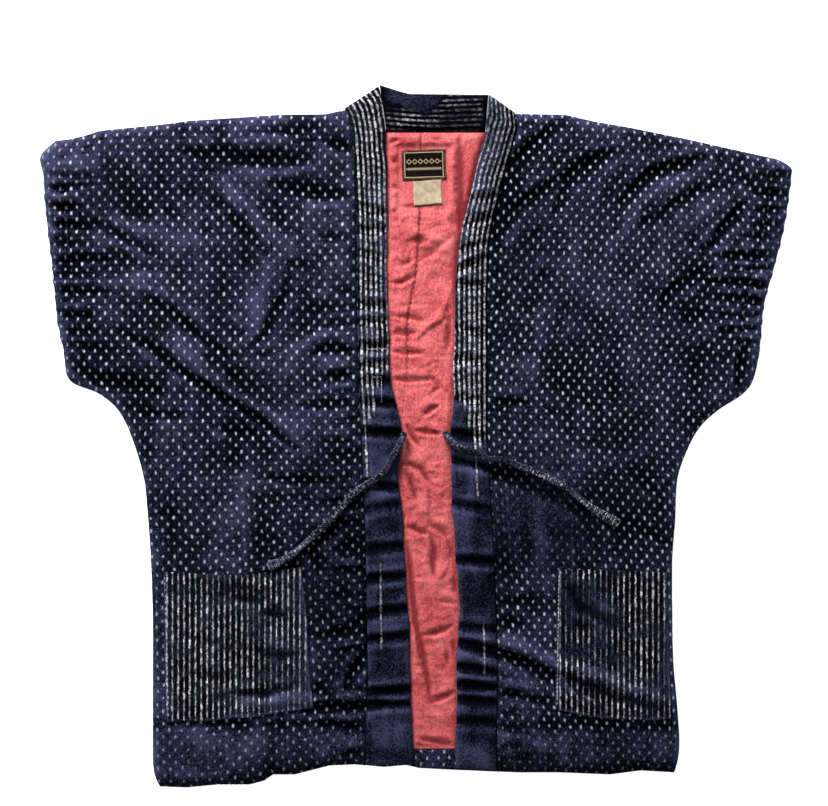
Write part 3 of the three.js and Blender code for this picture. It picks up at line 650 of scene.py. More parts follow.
# fronts
frontStrokes = {
    "left": {
        (11, -6.6): [[-222, 318, -196, 309, -162, 306, -119, 307]],
        (6.3, -3.3): [
            [-263, 320, -235, 312, -212, 318], [-196, 335, -156, 340, -128, 338],
            [-235, 273, -212, 256, -196, 234, -171, 208, -162, 200],
            [-397, 253, -352, 237, -308, 211, -280, 197],
            [-140, 192, -145, 161, -160, 133, -171, 111, -196, 92], [-224, 10, -201, 2, -179, 2],
            [-302, 24, -257, 21], [-128, 32, -78, 36], [-173, -46, -128, -52, -95, -50],
            [-179, -158, -145, -153, -128, -141], [-117, -287, -84, -287],
        ],
        (9, -5.6): [[-100, 329, -84, 323, -70, 318]],
        (10, -5.6): [[-162, 282, -128, 273, -78, 267]],
        (6.8, -2.2): [
            [-285, 256, -263, 239], [-361, 174, -364, 150, -366, 116], [-145, 192, -117, 189],
            [-112, 226, -78, 219], [-128, 139, -84, 144], [-212, 71, -190, 60], [-184, 88, -156, 94],
            [-100, -7, -72, -5], [-285, -80, -268, -91], [-100, -276, -117, -281],
        ],
        (4.6, -3): [[-408, 275, -386, 274]],
        (4.6, -3.4): [[-408, 254, -380, 253], [-406, 237, -352, 230], [-397, 161, -369, 158]],
        (5, -4.6): [[-403, 192, -375, 189]],
        (4.6, -2.6): [[-395, 133, -366, 132]],
        (6.5, -1.6): [[-341, 206, -308, 189, -280, 183]],
        (6.3, -4.3): [[-302, 155, -274, 139, -246, 116, -224, 99, -201, 88]],
        (6.5, -5.2): [
            [-330, 116, -296, 99, -268, 77, -240, 55, -212, 38], [-117, 92, -95, 98, -72, 94],
            [-100, 64, -72, 66], [-50, -231, -63, -248, -72, -265, -78, -287],
        ],
        (8.5, -6): [[-380, 77, -352, 60, -319, 55, -285, 49]],
        (4.8, -6.5): [[-263, 71, -235, 55, -209, 38, -190, 27, -168, 13, -151, -1, -131, -16]],
        (12, -2.4): [[-173, -74, -175, -141]],
        (8, -6): [[-126, -129, -104, -113, -82, -99]],
        (6.5, -5): [[-117, -125, -106, -153]],
        (9, 2.8): [[-358, 245, -324, 237, -291, 226, -252, 217, -201, 217]],
        (9, 3): [[-224, 290, -201, 267, -179, 245, -162, 234], [-296, 133, -268, 111, -246, 88, -218, 66]],
        (8, 2.4): [[-162, 234, -140, 211], [-128, 245, -112, 256, -89, 258]],
        (10, 3): [[-140, 211, -156, 189, -171, 161, -179, 127, -184, 105]],
        (9, 2): [[-341, 167, -308, 172, -280, 161]],
        (9, 2.6): [[-145, 77, -128, 94, -112, 111, -78, 122]],
        (7, 2): [
            [-112, 83, -72, 80], [-106, 2, -72, 4], [-100, 49, -72, 55], [-95, 27, -72, 24],
            [-95, -192, -72, -186], [-78, -141, -61, -139],
        ],
        (8, 2): [[-89, 183, -78, 197], [-106, -41, -72, -35]],
        (5.5, 2): [[-406, 266, -379, 265], [-408, 245, -375, 243]],
        (7, 2.2): [[-397, 217, -352, 217, -319, 206]],
        (6, 2.2): [[-397, 174, -369, 173]],
        (6, 2): [[-395, 146, -366, 145], [-115, -315, -104, -304]],
        (12, 2): [[-414, 309, -358, 307]],
        (8, 3): [[-224, 55, -184, 38, -151, 21, -128, 10]],
        (7, 2.4): [[-235, 10, -207, -7], [-95, -281, -72, -278, -61, -274]],
        (10, 2.4): [[-184, -24, -190, -52, -196, -74, -207, -108]],
    },
    "right": {
        (11, -6.6): [[165, 354, 146, 338, 124, 320, 107, 301, 99, 273, 92, 245, 90, 217]],
        (8, -4.6): [[163, 290, 135, 273, 112, 256, 101, 234]],
        (8.5, -6): [[221, 318, 196, 309, 174, 293, 163, 267, 155, 251]],
        (8, -5.8): [[320, 312, 292, 304, 264, 295, 247, 282, 232, 262]],
        (6.5, -3.6): [[336, 279, 314, 275, 292, 262, 269, 245, 252, 239]],
        (6.3, -3.3): [
            [355, 301, 367, 286, 381, 273, 398, 271], [325, 189, 308, 178, 284, 163, 275, 150, 273, 127],
        ],
        (6.5, -5.2): [[370, 262, 362, 256, 344, 234, 333, 217, 320, 208]],
        (6.8, -2.2): [
            [320, 139, 303, 130], [140, 234, 129, 217], [252, -52, 269, -63], [96, -209, 124, -214],
            [96, -360, 157, -360],
        ],
        (9, -2.4): [[224, 116, 222, 83, 219, 38]],
        (6.3, -4.3): [[370, 105, 362, 77, 359, 43], [96, -287, 124, -293, 152, -298]],
        (4.6, -3): [[364, 200, 383, 197]],
        (4.8, -4.4): [[376, 167, 395, 167]],
        (4.6, -3.2): [[367, 150, 389, 148]],
        (6.5, -1.8): [[152, 183, 135, 178]],
        (4.2, -3.8): [[90, 38, 129, 36]],
        (8.5, -3): [[62, -35, 96, -46, 140, -63, 174, -80, 196, -102]],
        (7, -1.6): [[124, -97, 124, -141]],
        (4.4, -3): [[236, -94, 275, -119]],
        (5, -3.2): [[64, -229, 96, -242, 130, -256, 158, -266]],
        (8, 3): [
            [258, 312, 241, 307, 224, 301, 208, 279, 196, 251],
            [320, 295, 292, 284, 269, 271, 252, 256, 236, 228, 224, 217],
            [370, 284, 353, 267, 336, 256, 320, 245, 297, 223],
        ],
        (8, 2.4): [[185, 279, 157, 262]],
        (7, 2): [[359, 186, 373, 195]],
        (9, 2.4): [[320, 167, 297, 152]],
        (10, 2.4): [[342, 122, 308, 105, 297, 99]],
        (8, 2): [[146, 206, 129, 183], [135, 83, 129, 66]],
        (9, 1.8): [[140, 150, 140, 99]],
        (6, 2): [[90, 51, 124, 54], [101, 27, 124, 29]],
        (8, 2.2): [[118, 245, 101, 200]],
        (9, 1.6): [[101, -63, 105, -119], [140, -74, 140, -130]],
        (7, 2.4): [[107, -231, 129, -237], [101, -276, 140, -287]],
        (8.5, 4): [[54, -222, 90, -230, 124, -242, 157, -255, 185, -270, 219, -285, 252, -297]],
        (6, 1.8): [[96, -332, 107, -343]],
    },
}
sharedStrokes = {  # creases that run through the collar seam
    "left": {
        (6.3, -3.3): [[-117, -225, -84, -222, -56, -203, -34, -195]],
        (7.5, -6): [[-123, -309, -95, -304, -72, -304, -39, -300]],
        (6.8, -2.2): [[-95, -356, -16, -360]],
    },
    "right": {
        (8, -6.4): [[49, -231, 73, -240, 101, -248, 129, -259, 152, -270, 174, -285, 196, -293, 219, -298]],
        (7, -2): [[71, -52, 69, -141]],
    },
}
padded = {
    "frontWall": 8.2, "edgeWall": 1.3, "edgeRound": 13, "seamRound": 9, "seamGap": 0.5,
    "puff": 1.0, "crumple": 1.15, "fineCrumple": 0.75, "step": 2.0,
    "cuffStitchIn": 22, "hemGroove": {"left": -324, "right": -323},
}
cuffPuckers = {  # y, depth
    "left": [
        [313, 1.2], [291, 2.4], [276, 2.6], [257, 3.2], [242, 2.2], [233, 3], [215, 2.2], [196, 4.2],
        [180, 2], [163, 3.2], [150, 1.8], [136, 2.6], [118, 2.2], [100, 2],
    ],
    "right": [
        [290, 1.6], [272, 2.2], [255, 2.6], [238, 1.8], [221, 2], [203, 3.4], [188, 2.4], [170, 4.2],
        [152, 3], [136, 2], [120, 2.6], [104, 2],
    ],
}
wearSpots = {  # middle x, y, half-widths, how much more or less worn
    "left": [
        (-362, 145, 48, 80, -0.30), (-129, 346, 30, 24, -0.3), (-129, -4, 24, 22, 0.26),
        (-276, -188, 22, 30, 0.18), (-297, 45, 26, 30, -0.24), (-180, 42, 36, 26, -0.28),
        (-297, 130, 28, 28, -0.22), (-297, 264, 30, 28, -0.24), (-230, 309, 30, 24, -0.16),
        (-129, 264, 24, 24, -0.14), (-290, -235, 10, 70, -0.24), (-285, 336, 75, 24, 0.2),
    ],
    "right": [
        (145, 112, 64, 66, 0.24), (162, 309, 34, 28, -0.36), (322, 85, 36, 32, -0.38),
        (207, -28, 36, 44, 0.12), (212, -240, 34, 40, 0.2), (95, 264, 28, 28, -0.24),
        (151, 256, 30, 36, -0.2), (300, 195, 44, 36, 0.22),
    ],
}
bareSpots = {  # middle x, y, half-widths, how far the dashes are faded
    "left": [(-90, -150, 50, 60, 0.5), (-80, -290, 26, 60, 0.6)],
    "right": [(138, -92, 64, 58, 0.95), (84, -150, 22, 60, 0.4), (110, -280, 30, 40, 0.6)],
}


def puckerStrokes(name):  # short creases that run in from the collar seam and the cuff
    random = np.random.default_rng(pick(name, 5, 11))
    strokes, y, out = [], 345.0, sides[name]["sign"]
    while y > -372:
        if name == "left":
            force = 0.2 if y > 190 else (0.9 if y < -75 else 0.5)
        else:
            force = 0.75 if y < -170 else (0.15 if y < 150 else 0.35)
        x = seamAt(name, y)
        length = random.uniform(12, 26) + force * random.uniform(5, 40)
        slant = random.uniform(-0.3, 0.3) * length
        middle = [x + out * length * 0.5, y + slant * 0.4 + random.uniform(-2, 2)]
        path = [[x + out, y], middle, [x + out * length, y + slant]]
        strokes.append((path, random.uniform(4.2, 7), -force * random.uniform(1.8, 3.8)))
        y -= random.uniform(13, 30)
    for y, depth in cuffPuckers[name]:
        x = cuffAt(name, y)
        length = random.uniform(26, 40) + depth * random.uniform(4, 12)
        lean = random.uniform(-5, 5)
        path = [[x, y], [x - out * length * 0.4, y + lean * 0.5], [x - out * length, y + lean]]
        strokes.append((path, random.uniform(3.8, 5.2), -depth))
    return strokes


def frontHeight(name, x, y, dEdge, dSeam, dCuff):
    strokes = strokesOf(frontStrokes[name]) + strokesOf(sharedStrokes[name]) + puckerStrokes(name)
    creases = [(path, wide * 0.74, rise * 0.9) for path, wide, rise in strokes if rise < 0]
    ridges = [(path, wide * 0.95, rise * 0.8) for path, wide, rise in strokes if rise >= 0]
    relief = strokeHeight(creases + ridges, x, y)
    seed = pick(name, 100, 200)
    relief += padded["puff"] * (noise(x, y, 85, seed) + 0.6 * noise(x, y, 44, seed + 1))
    relief += padded["crumple"] * crumple(x, y, 46, seed + 2)
    relief += padded["fineCrumple"] * crumple(x, y, 15, seed + 9, 2)
    relief += 1.5 * crumple(x * 0.45, y, 8.5, seed + 15, 2) * np.exp(-dCuff / 24) * ramp((y - 60) / 20)
    relief -= 1.5 * bell((dCuff - padded["cuffStitchIn"]) / 3.2) * ramp((y - 66) / 20)
    hem = padded["hemGroove"][name] + 3 * noise(x, y * 0, 60, seed + 20)
    relief -= 1.8 * bell((y - hem) / 5) * ramp((dSeam - 2) / 10)
    relief += 1.2 * ramp((hem - y) / 16) * ramp((y + 372) / 20)
    height = np.clip(padded["frontWall"] + relief, 1.8, 14.5)
    wall = padded["edgeWall"]
    rolled = roll(dEdge, padded["edgeRound"]) * mix(0.22, 1, roll(dSeam, padded["seamRound"]))
    return layers["frontUnder"] + wall + (height - wall) * rolled, relief


def patternTurn(name, x, y):  # how the weave lies on each front, in mm
    if name == "left":
        lean = ramp((x + 300) / 240) * (0.035 + 0.14 * ramp((60 - y) / 260))
        drop = np.maximum(0, x + 300) * lean * 0.72
        return x + 0.045 * np.minimum(0, y) * ramp((x + 330) / 200), y - drop
    slope = 0.088 + 0.07 * ramp((170 - x) / 90) * ramp((60 - y) / 200)
    return x * 1.045 - 0.07 * y * ramp(y / 160) + 0.05 * y * ramp(-y / 80), y + (x - 85) * slope


def frontWearAndShade(name, x, y, relief, dEdge, dCuff):  # rubbed paler on the ridges, with painted shade darkening the creases
    wearAndShade = pick(name, 0.12, 0.08) * noise(x, y, 70, pick(name, 300, 320))
    # ridges rubbed paler; the negative relief term is painted shade in the creases
    wearAndShade += 0.11 * np.clip(relief, 0, 3.5) + 0.15 * np.clip(relief, -4, 0)
    wearAndShade += 0.22 * bell((dEdge - 3) / 4) - 0.4 * bell((y - onLine(hemLine, x)) / 9)
    paleChest = 0.36 - 0.10 * ramp((60 - y) / 120)
    paleSleeve = 0.19 + 0.08 * ramp((x - 300) / 60) * ramp((y - 180) / 60)
    paleCuff = pick(name, 0.3, 0.26) * np.exp(-dCuff / 12) * ramp((y - 60) / 20)
    wearAndShade += pick(name, paleChest, paleSleeve) + paleCuff
    wearAndShade += pick(name, 0.05, 0.02) * ramp((-105 - y) / 60) * ramp((y + 330) / 20)
    return np.clip(wearAndShade + spots(wearSpots[name], x, y), -0.35, 1)


def bareCloth(name, x, y, dCuff):  # where the dashes are rubbed or faded away
    bare = 0.25 * ramp((noise(x, y, 60, pick(name, 340, 350)) - 0.35) / 0.4) + 0.35 * bell(dCuff / 15)
    bare += 0.1 * ramp((30 - y) / 90) + pick(name, 0.35, 0.5) * ramp((-322 - y) / 8)
    return np.clip(bare + spots(bareSpots[name], x, y), 0, 0.95)


def makeFront(name):
    side = sides[name]
    us, vs = (stopsFor(lengths[key], padded["step"], crowdedEdge) for key in ("front", "side"))
    innerAt = lambda y: (seamAt(name, y) + side["sign"] * padded["seamGap"], y)
    x, y = outlineGrid(side, innerAt, side["shoulder"], us, vs)
    draw = sum(depth * bell((y - at) / 5) for at, depth in cuffPuckers[name]) - 0.8 * ramp((y - 80) / 20)
    draw = draw * np.exp(-np.abs(x - x[:, :1]) / 14) * ramp((y - 70) / 12) * ramp((320 - y) / 12)
    x = x - side["sign"] * 0.85 * draw
    outer = denseLine(x[:, 0], y[:, 0])
    dEdge = borderDistance(x, y, outer, denseLine(x[0], y[0]), denseLine(x[-1], y[-1]))
    dSeam = borderDistance(x, y, denseLine(x[:, -1], y[:, -1]))
    dCuff = borderDistance(x, y, outer[outer[:, 1] > 66])
    top, relief = frontHeight(name, x, y, dEdge, dSeam, dCuff)
    u, v = patternTurn(name, x, y)
    extraU, extraV = (extraLength(x, y, top, axis) for axis in (1, 0))
    u = u + 0.6 * smoothed((extraU[:, -1:] - extraU) * side["sign"])
    v = v + 0.4 * smoothed(extraV - extraV.mean())
    marks = {"wearAndShade": frontWearAndShade(name, x, y, relief, dEdge, dCuff), "bare": bareCloth(name, x, y, dCuff)}
    cloth, under = pick(name, kasuriLeft, kasuriRight), layers["frontUnder"]
    print("front", name)
    return gridPiece("front_" + name, x, y, top, under, (u, v), cloth, "indigo_kasuri", **marks)


fronts = {name: makeFront(name) for name in sides}


# back, seen only from below
backValues = {"step": 6, "edgeRound": 15, "edgeLift": 3.5, "crumple": 0.9, "fineCrumple": 0.4, "hemSeamY": -324}


def makeBack(name):
    side = sides[name]
    us, vs = (stopsFor(lengths[key], backValues["step"], crowdedEdge) for key in ("back", "side"))
    innerAt = lambda y: (np.full(len(y), centreBackX + side["sign"] * 0.02), mix(-371.5, 342, vs))
    upper = side["shoulder"] + [p for p in backNeck if p[0] not in (-77.8, 109.2)]
    x, y = outlineGrid(side, innerAt, upper, us, vs)
    edge = borderDistance(x, y, denseLine(x[:, 0], y[:, 0]), denseLine(x[0], y[0]), denseLine(x[-1], y[-1]))
    seed = pick(name, 400, 420)
    creases = backValues["crumple"] * np.clip(crumple(x, y, 60, seed, 2) - 0.25, 0, 1)
    creases += backValues["fineCrumple"] * np.clip(crumple(x, y, 22, seed + 5, 2) - 0.4, 0, 1)
    creases += 1.6 * bell((x - centreBackX) / 3.5) + 0.9 * bell((y - backValues["hemSeamY"]) / 4)
    low = mix(backValues["edgeLift"], 0, roll(edge, backValues["edgeRound"])) + creases * ramp((edge - 8) / 12)
    neck = ramp((y - 325) / 8) * ramp((x + 75) / 10) * ramp((105 - x) / 10)  # painted shade under the collar, where the gap lies in deep shadow
    wearAndShade = np.clip(0.25 + 0.2 * noise(x, y, 70, seed + 8) + 0.4 * bell(edge / 5), 0, 1) * (1 - neck)
    bare = 0.35 * ramp((noise(x, y, 60, seed + 9) - 0.3) / 0.4) + 0.5 * ramp((-322 - y) / 8)
    marks = {"wearAndShade": wearAndShade, "bare": np.maximum(bare, neck)}
    return gridPiece("back_" + name, x, y, low, layers["back"], (x, y), kasuriLeft, "indigo_kasuri", **marks)


for name in sides:
    makeBack(name)
print("back")


# lining and the hem turned up inside
liningValues = {
    "underBand": 4, "padding": 2.0, "folds": 1.45, "crumple": 1.1, "fineCrumple": 0.75, "wrinkles": 0.42,
    "lowest": -0.6, "highest": 5,
}
facingValues = {"swell": 2.0, "sink": 0.9, "crumple": 0.4, "lowest": 6.9}
liningStrokes = {
    (3.6, -1.5): [
        [-31, 327, -24, 330, -16, 332], [-3, 332, 3, 326, 10, 320], [20, 335, 27, 328],
        [-30, 250, -21, 251], [-18, 190, -3, 196], [37, -119, 39, -129, 40, -136], [25, -185, 45, -187],
        [43, -155, 43, -179], [42, -224, 43, -255], [35, -238, 35, -257],
    ],
    (5, 2.3): [[38, 336, 38, 235]],
    (5.5, -2.4): [[49, 336, 49, 232]],
    (5, 2.2): [[35, 153, 29, 133, 13, 122, 1, 109]],
    (4, -2): [[38, 133, 35, 94]],
    (4.5, -1.7): [[-28, 307, -18, 307]],
    (4, -1.5): [[-27, 278, -16, 278]],
    (3.2, -2.8): [[-16, 258, -2, 258, 23, 260]],
    (3.8, -1.9): [
        [-6, 218, 12, 218], [-29, 171, -16, 171, -3, 178, 2, 181], [-25, 134, -6, 133, 12, 127],
        [-27, 114, -17, 115, 1, 115], [-25, 94, -10, 93, 7, 92], [-25, 63, -9, 62, 20, 63],
        [20, 63, 25, 55, 17, 47], [-11, -103, -2, -104, 6, -108, 13, -109], [15, -100, 25, -104, 35, -111],
        [10, -223, 22, -221, 34, -217, 42, -211], [16, -299, 25, -295, 38, -290, 44, -286],
        [2, -339, 20, -342, 42, -346],
    ],
    (4.5, -1.4): [[6, 196, 40, 223]],
    (3.6, -2.8): [[10, 23, 18, 30, 25, 33], [-1, 6, 13, 4, 27, 2]],
    (3.8, -2.4): [[-10, 9, -2, -3, 6, -14]],
    (3.8, -2.3): [[-14, -31, -4, -33, 6, -38, 15, -52, 21, -57]],
    (4.6, -2.2): [[-8, -45, 1, -73]],
    (4.5, 2): [[-4, -40, 4, -48, 13, -58, 13, -78, 12, -99]],
    (4.4, -2.6): [[16, -112, 20, -126, 18, -142, 21, -159]],
    (4.5, 1.7): [[36, -142, 30, -154, 26, -159]],
    (4.6, -3): [[-10, -119, -7, -146, -4, -179, 0, -213, 11, -263, 16, -295]],
    (4, 1.7): [[-5, -206, 2, -246, 9, -281]],
}


def makeLining(name):
    sign, values = sides[name]["sign"], liningValues
    us, vs = np.linspace(0, 1, 56), np.linspace(0, 1, 450)
    y = np.broadcast_to(mix(-350.5, 339.5, vs)[:, None], (450, 56)).copy()
    seam = seamAt(name, y[:, 0]) - sign * values["underBand"]
    middle = column(liningSeam, 0, 1, y)
    x = mix(seam[:, None], middle[:, :1] + sign * 0.06, us[None])
    left, right = openEdges(y)
    inward = np.minimum(x - left, right - x)
    show = ramp((inward + 2) / 9) * ramp((y + 348) / 8) * ramp((338.5 - y) / 5)
    offLabels = ramp((y - 323) / 6) + ramp((256 - y) / 10) + ramp((-18 - x) / 5) + ramp((x - 37) / 5)
    drawn = strokeHeight([(path, wide * 0.72, rise) for path, wide, rise in strokesOf(liningStrokes)], x, y)
    relief = values["folds"] * drawn + values["crumple"] * crumple(x, y, 28, 500)
    relief += values["fineCrumple"] * crumple(x, y, 11, 520, 2) + values["padding"] + 0.7 * noise(x, y, 60, 530)
    relief += values["wrinkles"] * crumple(x * 0.5, y + 0.45 * x, 6.5, 540, 2)
    relief -= 0.9 * bell((x - middle) / 1.8) * mix(0.2, 1, ramp((y - 40) / 60))
    height = np.clip(relief, values["lowest"], values["highest"])
    top = layers["lining"] + np.maximum(height * show * np.clip(offLabels, 0, 1), -0.3)
    shade = ramp((right - x + 2) / -16 + 1) * ramp((y - 130) / 60)
    shade += 0.55 * bell((x - middle) / 2) * ramp((y - 60) / 60) + 0.35 * ramp((1.6 - relief) / 2.6)
    shade += 0.55 * np.clip(-drawn / 2, 0, 1) + 0.14 * ramp((40 - y) / 40) + 0.12 * ramp((-40 - y) / 140)
    shade = np.clip(shade + 0.35 * ramp((5 - inward) / 6), 0, 1)
    under = layers["underLining"]
    return gridPiece("lining_" + name, x, y, top, under, (x, y), liningRed, "lining", shade=shade)


def makeFacing():
    us, vs = np.linspace(0, 1, 90), np.linspace(0, 1, 22)
    left, right = seamAt("left", hemFoldY - 0.2) + 4, seamAt("right", hemFoldY - 0.2) - 4
    x = np.broadcast_to(mix(left, right, us)[None], (22, 90)).copy()
    upper = hemFoldY + 0.1 + 0.8 * noise(x[0], x[0] * 0, 18, 611)
    y = mix(onLine(hemLine, x[0])[None] + 1, upper[None], vs[:, None])
    show = ramp((np.minimum(x + 1.8, 44.2 - x) + 1) / 7)
    body = np.sqrt(np.clip(np.sin(np.pi * mix(0.06, 0.94, vs)), 0, 1))[:, None]
    swell = body * facingValues["swell"] - facingValues["sink"]
    swell = swell + facingValues["crumple"] * crumple(x, y, 16, 600, 2)
    marks = {"wearAndShade": np.full(x.shape, 0.3), "bare": np.full(x.shape, 0.25)}
    top, under = np.maximum(layers["lining"] + show * swell, facingValues["lowest"]), layers["underLining"]
    return gridPiece("back_hem_facing", x, y, top, under, (x, y), kasuriLeft, "indigo_kasuri", **marks)


linings = {name: makeLining(name) for name in sides}
makeFacing()
print("lining")


# collar
bandValues = {"wall": 8.0, "edge": 2.4, "step": 2.2, "puff": 0.9, "puckerHalf": 5.0, "puckerForce": 1.9}
bandPuckers = {  # y at mid-width, how far the pucker slants across the band, depth
    "left": [
        [254, -8, 1.4], [232, 0, 1.4], [202, -10, 1.4], [148, 0, 2.2], [130, 0, 1.4], [102, 0, 3],
        [81, 2, 1.6], [64, 0, 1.6], [39, -2, 2.4], [6, -2, 2.4], [-53, -6, 2.2], [-77, 8, 1.4],
        [-123, 4, 1.8], [-156, 4, 2.2], [-194, 6, 2.4], [-223, 4, 2.2], [-283, 2, 3], [-297, 2, 2.2],
    ],
    "right": [
        [268, 0, 1.6], [242, 4, 1.6], [213, 8, 1.6], [195, 13, 2.4], [170, -2, 2.4], [119, -10, 1.4],
        [87, -6, 2], [43, -8, 1.8], [2, -8, 2], [-29, -10, 2.2], [-77, -10, 1.6], [-137, -3, 2.4],
        [-213, -3, 1.6], [-234, -10, 3], [-259, -7, 2.4], [-277, -3, 2.4], [-293, -3, 1.6], [-317, -2, 1.6],
    ],
}
stripeSpacing = 5.7
stripesFrom = {"left": 1.2, "right": 2.6}  # the first line lies this far outside the seam
stripeEnds = {  # y where each line stops, from the seam inwards
    "left": [19, -52, 12, 20, 50, 62, 66, 70, 70],
    "right": [0, -10, -16, -72, 5, 25, 35, 40, 40],
}
longStripe = {"left": (-240, -139), "right": (-270, -205)}  # from y to y, one line goes on faintly
neckValues = {"wall": 4.9, "foot": 5.6, "upperFoot": 3.2, "foldIn": 17, "patchFromY": 355}


def puckersAcross(name, y, u):
    total = 0
    for middle, slant, depth in bandPuckers[name]:
        t = (y - middle + 2 - slant * sides[name]["sign"] * (0.5 - u)) / bandValues["puckerHalf"]
        total = total - depth * (bell(t) - 0.4 * bell((np.abs(t) - 1.9) / 0.9))
    return total * bandValues["puckerForce"]


def stripeShow(name, x, y, dSeam):  # the stripes stop unevenly, one line after another
    line = np.round((dSeam + stripesFrom[name]) / stripeSpacing)
    stop = np.array(stripeEnds[name], float)[np.clip(line, 0, 8).astype(int)]
    show = ramp((y - stop) / 14) * (0.85 + 0.3 * noise(x, y, 24, 77))
    low, high = longStripe[name]
    show = np.maximum(show, 0.5 * (line == 3) * ramp((high - y) / 10) * ramp((y - low) / 10))
    return np.clip(show, 0, 1)


def makeBand(name):
    bands, sign, length = sides[name]["bands"], sides[name]["sign"], lengths["band"]
    us, vs = stopsFor(lengths["bandWidth"], 1.6, 10), stopsFor(length, bandValues["step"], crowdedEdge)
    seamY = rowsAt(sides[name]["rows"], vs)[:, 3]
    seamX, edgeX, edgeY = (column(bands, 1, k, seamY) for k in (0, 2, 3))
    seed = pick(name, 700, 720)
    wobble = 0.7 * noise(edgeY * 0, edgeY, 14, seed + 1) + 0.6 * noise(edgeY * 0, edgeY, 37, seed + 2)
    bulge = ramp((seamY - 345) / 16)  # padding swells the peak a little past its seam
    x = mix((seamX + 2 * sign * bulge)[:, None], (edgeX + wobble)[:, None], us[None])
    y = mix((seamY + 1.2 * bulge)[:, None], (edgeY + bulge)[:, None], us[None])
    width = np.hypot(edgeX - seamX, edgeY - seamY)[:, None]
    ends = np.minimum(roll(vs * length, 9), roll((1 - vs) * length, 12))[:, None]
    dSeam, dFront = us[None] * width, (1 - us)[None] * width
    across = np.minimum(roll(dSeam, 10), roll(dFront, 12))
    relief = puckersAcross(name, y, us[None]) + strokeHeight(strokesOf(sharedStrokes[name]), x, y)
    relief += bandValues["puff"] * noise(x, y, 34, seed + 3)
    relief += 0.8 * crumple(x, y, 26, seed + 4) + 0.35 * crumple(x, y, 11, seed + 5, 2)
    relief -= 0.9 * bell((dSeam - 5) / 1.6)  # top stitching beside the seam
    under = layers["bandUnder"] - (layers["bandUnder"] - 2.5) * ramp((y - 367) / 20)
    edge, wall = bandValues["edge"], bandValues["wall"]
    top = under + edge + np.clip(wall - edge + relief, 0.6, 9) * across * ends
    stripe = stripeShow(name, x, y, dSeam)
    turned = 1 - 0.5 * bell((y - 345) / 38) * ramp((26 - dFront) / 22)  # painted shade dims the right band's stripes where it turns at the peak and along its upper part
    stripe = stripe * pick(name, 0.9, turned * (1 - 0.3 * ramp((y - 215) / 70)))
    # the relief term paints shade into the pucker hollows; the front edge is rubbed paler
    wearAndShade = 0.30 + 0.10 * stripe + 0.13 * relief + 0.2 * bell(dFront / 3) + 0.15 * noise(x, y, 30, seed + 6)
    wearAndShade = np.clip(wearAndShade + pick(name, 0.08, 0.02) * ramp((-90 - y) / 60), 0, 1)
    uv, marks = (dSeam + stripesFrom[name] + 0 * x, y), {"stripe": stripe, "wearAndShade": wearAndShade}
    return gridPiece("collar_" + name, x, y, top, under, uv, stripedBand, "indigo_stripe", **marks)


def makeNeckBand():
    us, vs = stopsFor(120, 2.2, 4), stopsFor(40, 1.5, 10)
    seamY = onLine(backNeck, mix(-36, 80, us)) + 0.5
    upperY = onLine(neckBandUpper, mix(-40.9, 82, us)) + 1.2
    y = mix(seamY[None], upperY[None], vs[:, None])
    left, right = openEdges(y)
    x = mix(left + 0.6, right - 0.6, us[None])
    width = (upperY - seamY)[None]
    dSeam, dUpper = vs[:, None] * width, (1 - vs)[:, None] * width
    across = np.minimum(roll(dSeam, 9), roll(dUpper, 12))
    relief = 0.5 * noise(x, y, 22, 740) + 0.4 * crumple(x, y, 18, 741)
    relief -= bell((dSeam - neckValues["foldIn"]) / 5)
    foot = mix(neckValues["upperFoot"], neckValues["foot"], roll(dUpper, 10))
    top = foot + (neckValues["wall"] + relief) * across
    patch = neckValues["patchFromY"] + np.where(x < 13, 0.42 * (13 - x), 1.3 * (x - 13))
    patch = patch + 1.5 * noise(x, y, 9, 745)
    faded = ramp((y - patch) / 4) * ramp((x + 40) / 12) * ramp((66 - x) / 14)
    # the relief term paints shade into the hollows; the faded patch is paler and the cloth around it darker
    wearAndShade = np.clip(0.32 * faded + 0.08 * relief - 0.3 * (1 - faded), -0.35, 1)
    stripe = (0.34 + 0.3 * noise(x, y, 12, 744)) * (1 - 0.4 * ramp((x - 5) / 20)) * (1 - faded)
    stripe = stripe * ramp((368 - y + 0.9 * np.maximum(0, x - 20)) / 5)
    stripe = stripe * ramp((x + 36) / 8) * ramp((76 - x) / 6)
    uv, marks = (dSeam + 1.6 * np.cos((x - 13) / 24), x), {"stripe": np.clip(stripe, 0, 1), "wearAndShade": wearAndShade}
    return gridPiece("collar_back_neck", x, y, top, 0.0, uv, stripedBand, "indigo_stripe", **marks)


bands = {name: makeBand(name) for name in sides}
makeNeckBand()
print("collar")


# what lies on the cloth
def treeOf(pieces):
    points, faces = [], []
    for piece in pieces:
        base = len(points)
        points += [v.co.copy() for v in piece.data.vertices]
        faces += [[base + k for k in p.vertices] for p in piece.data.polygons if len(p.vertices) == 4]
    return BVHTree.FromPolygons(points, faces)


def heightOn(tree, x, y):
    hit = tree.ray_cast(Vector((x * mm, y * mm, 0.08)), Vector((0, 0, -1)))[0]
    return hit.z / mm if hit else 0.0


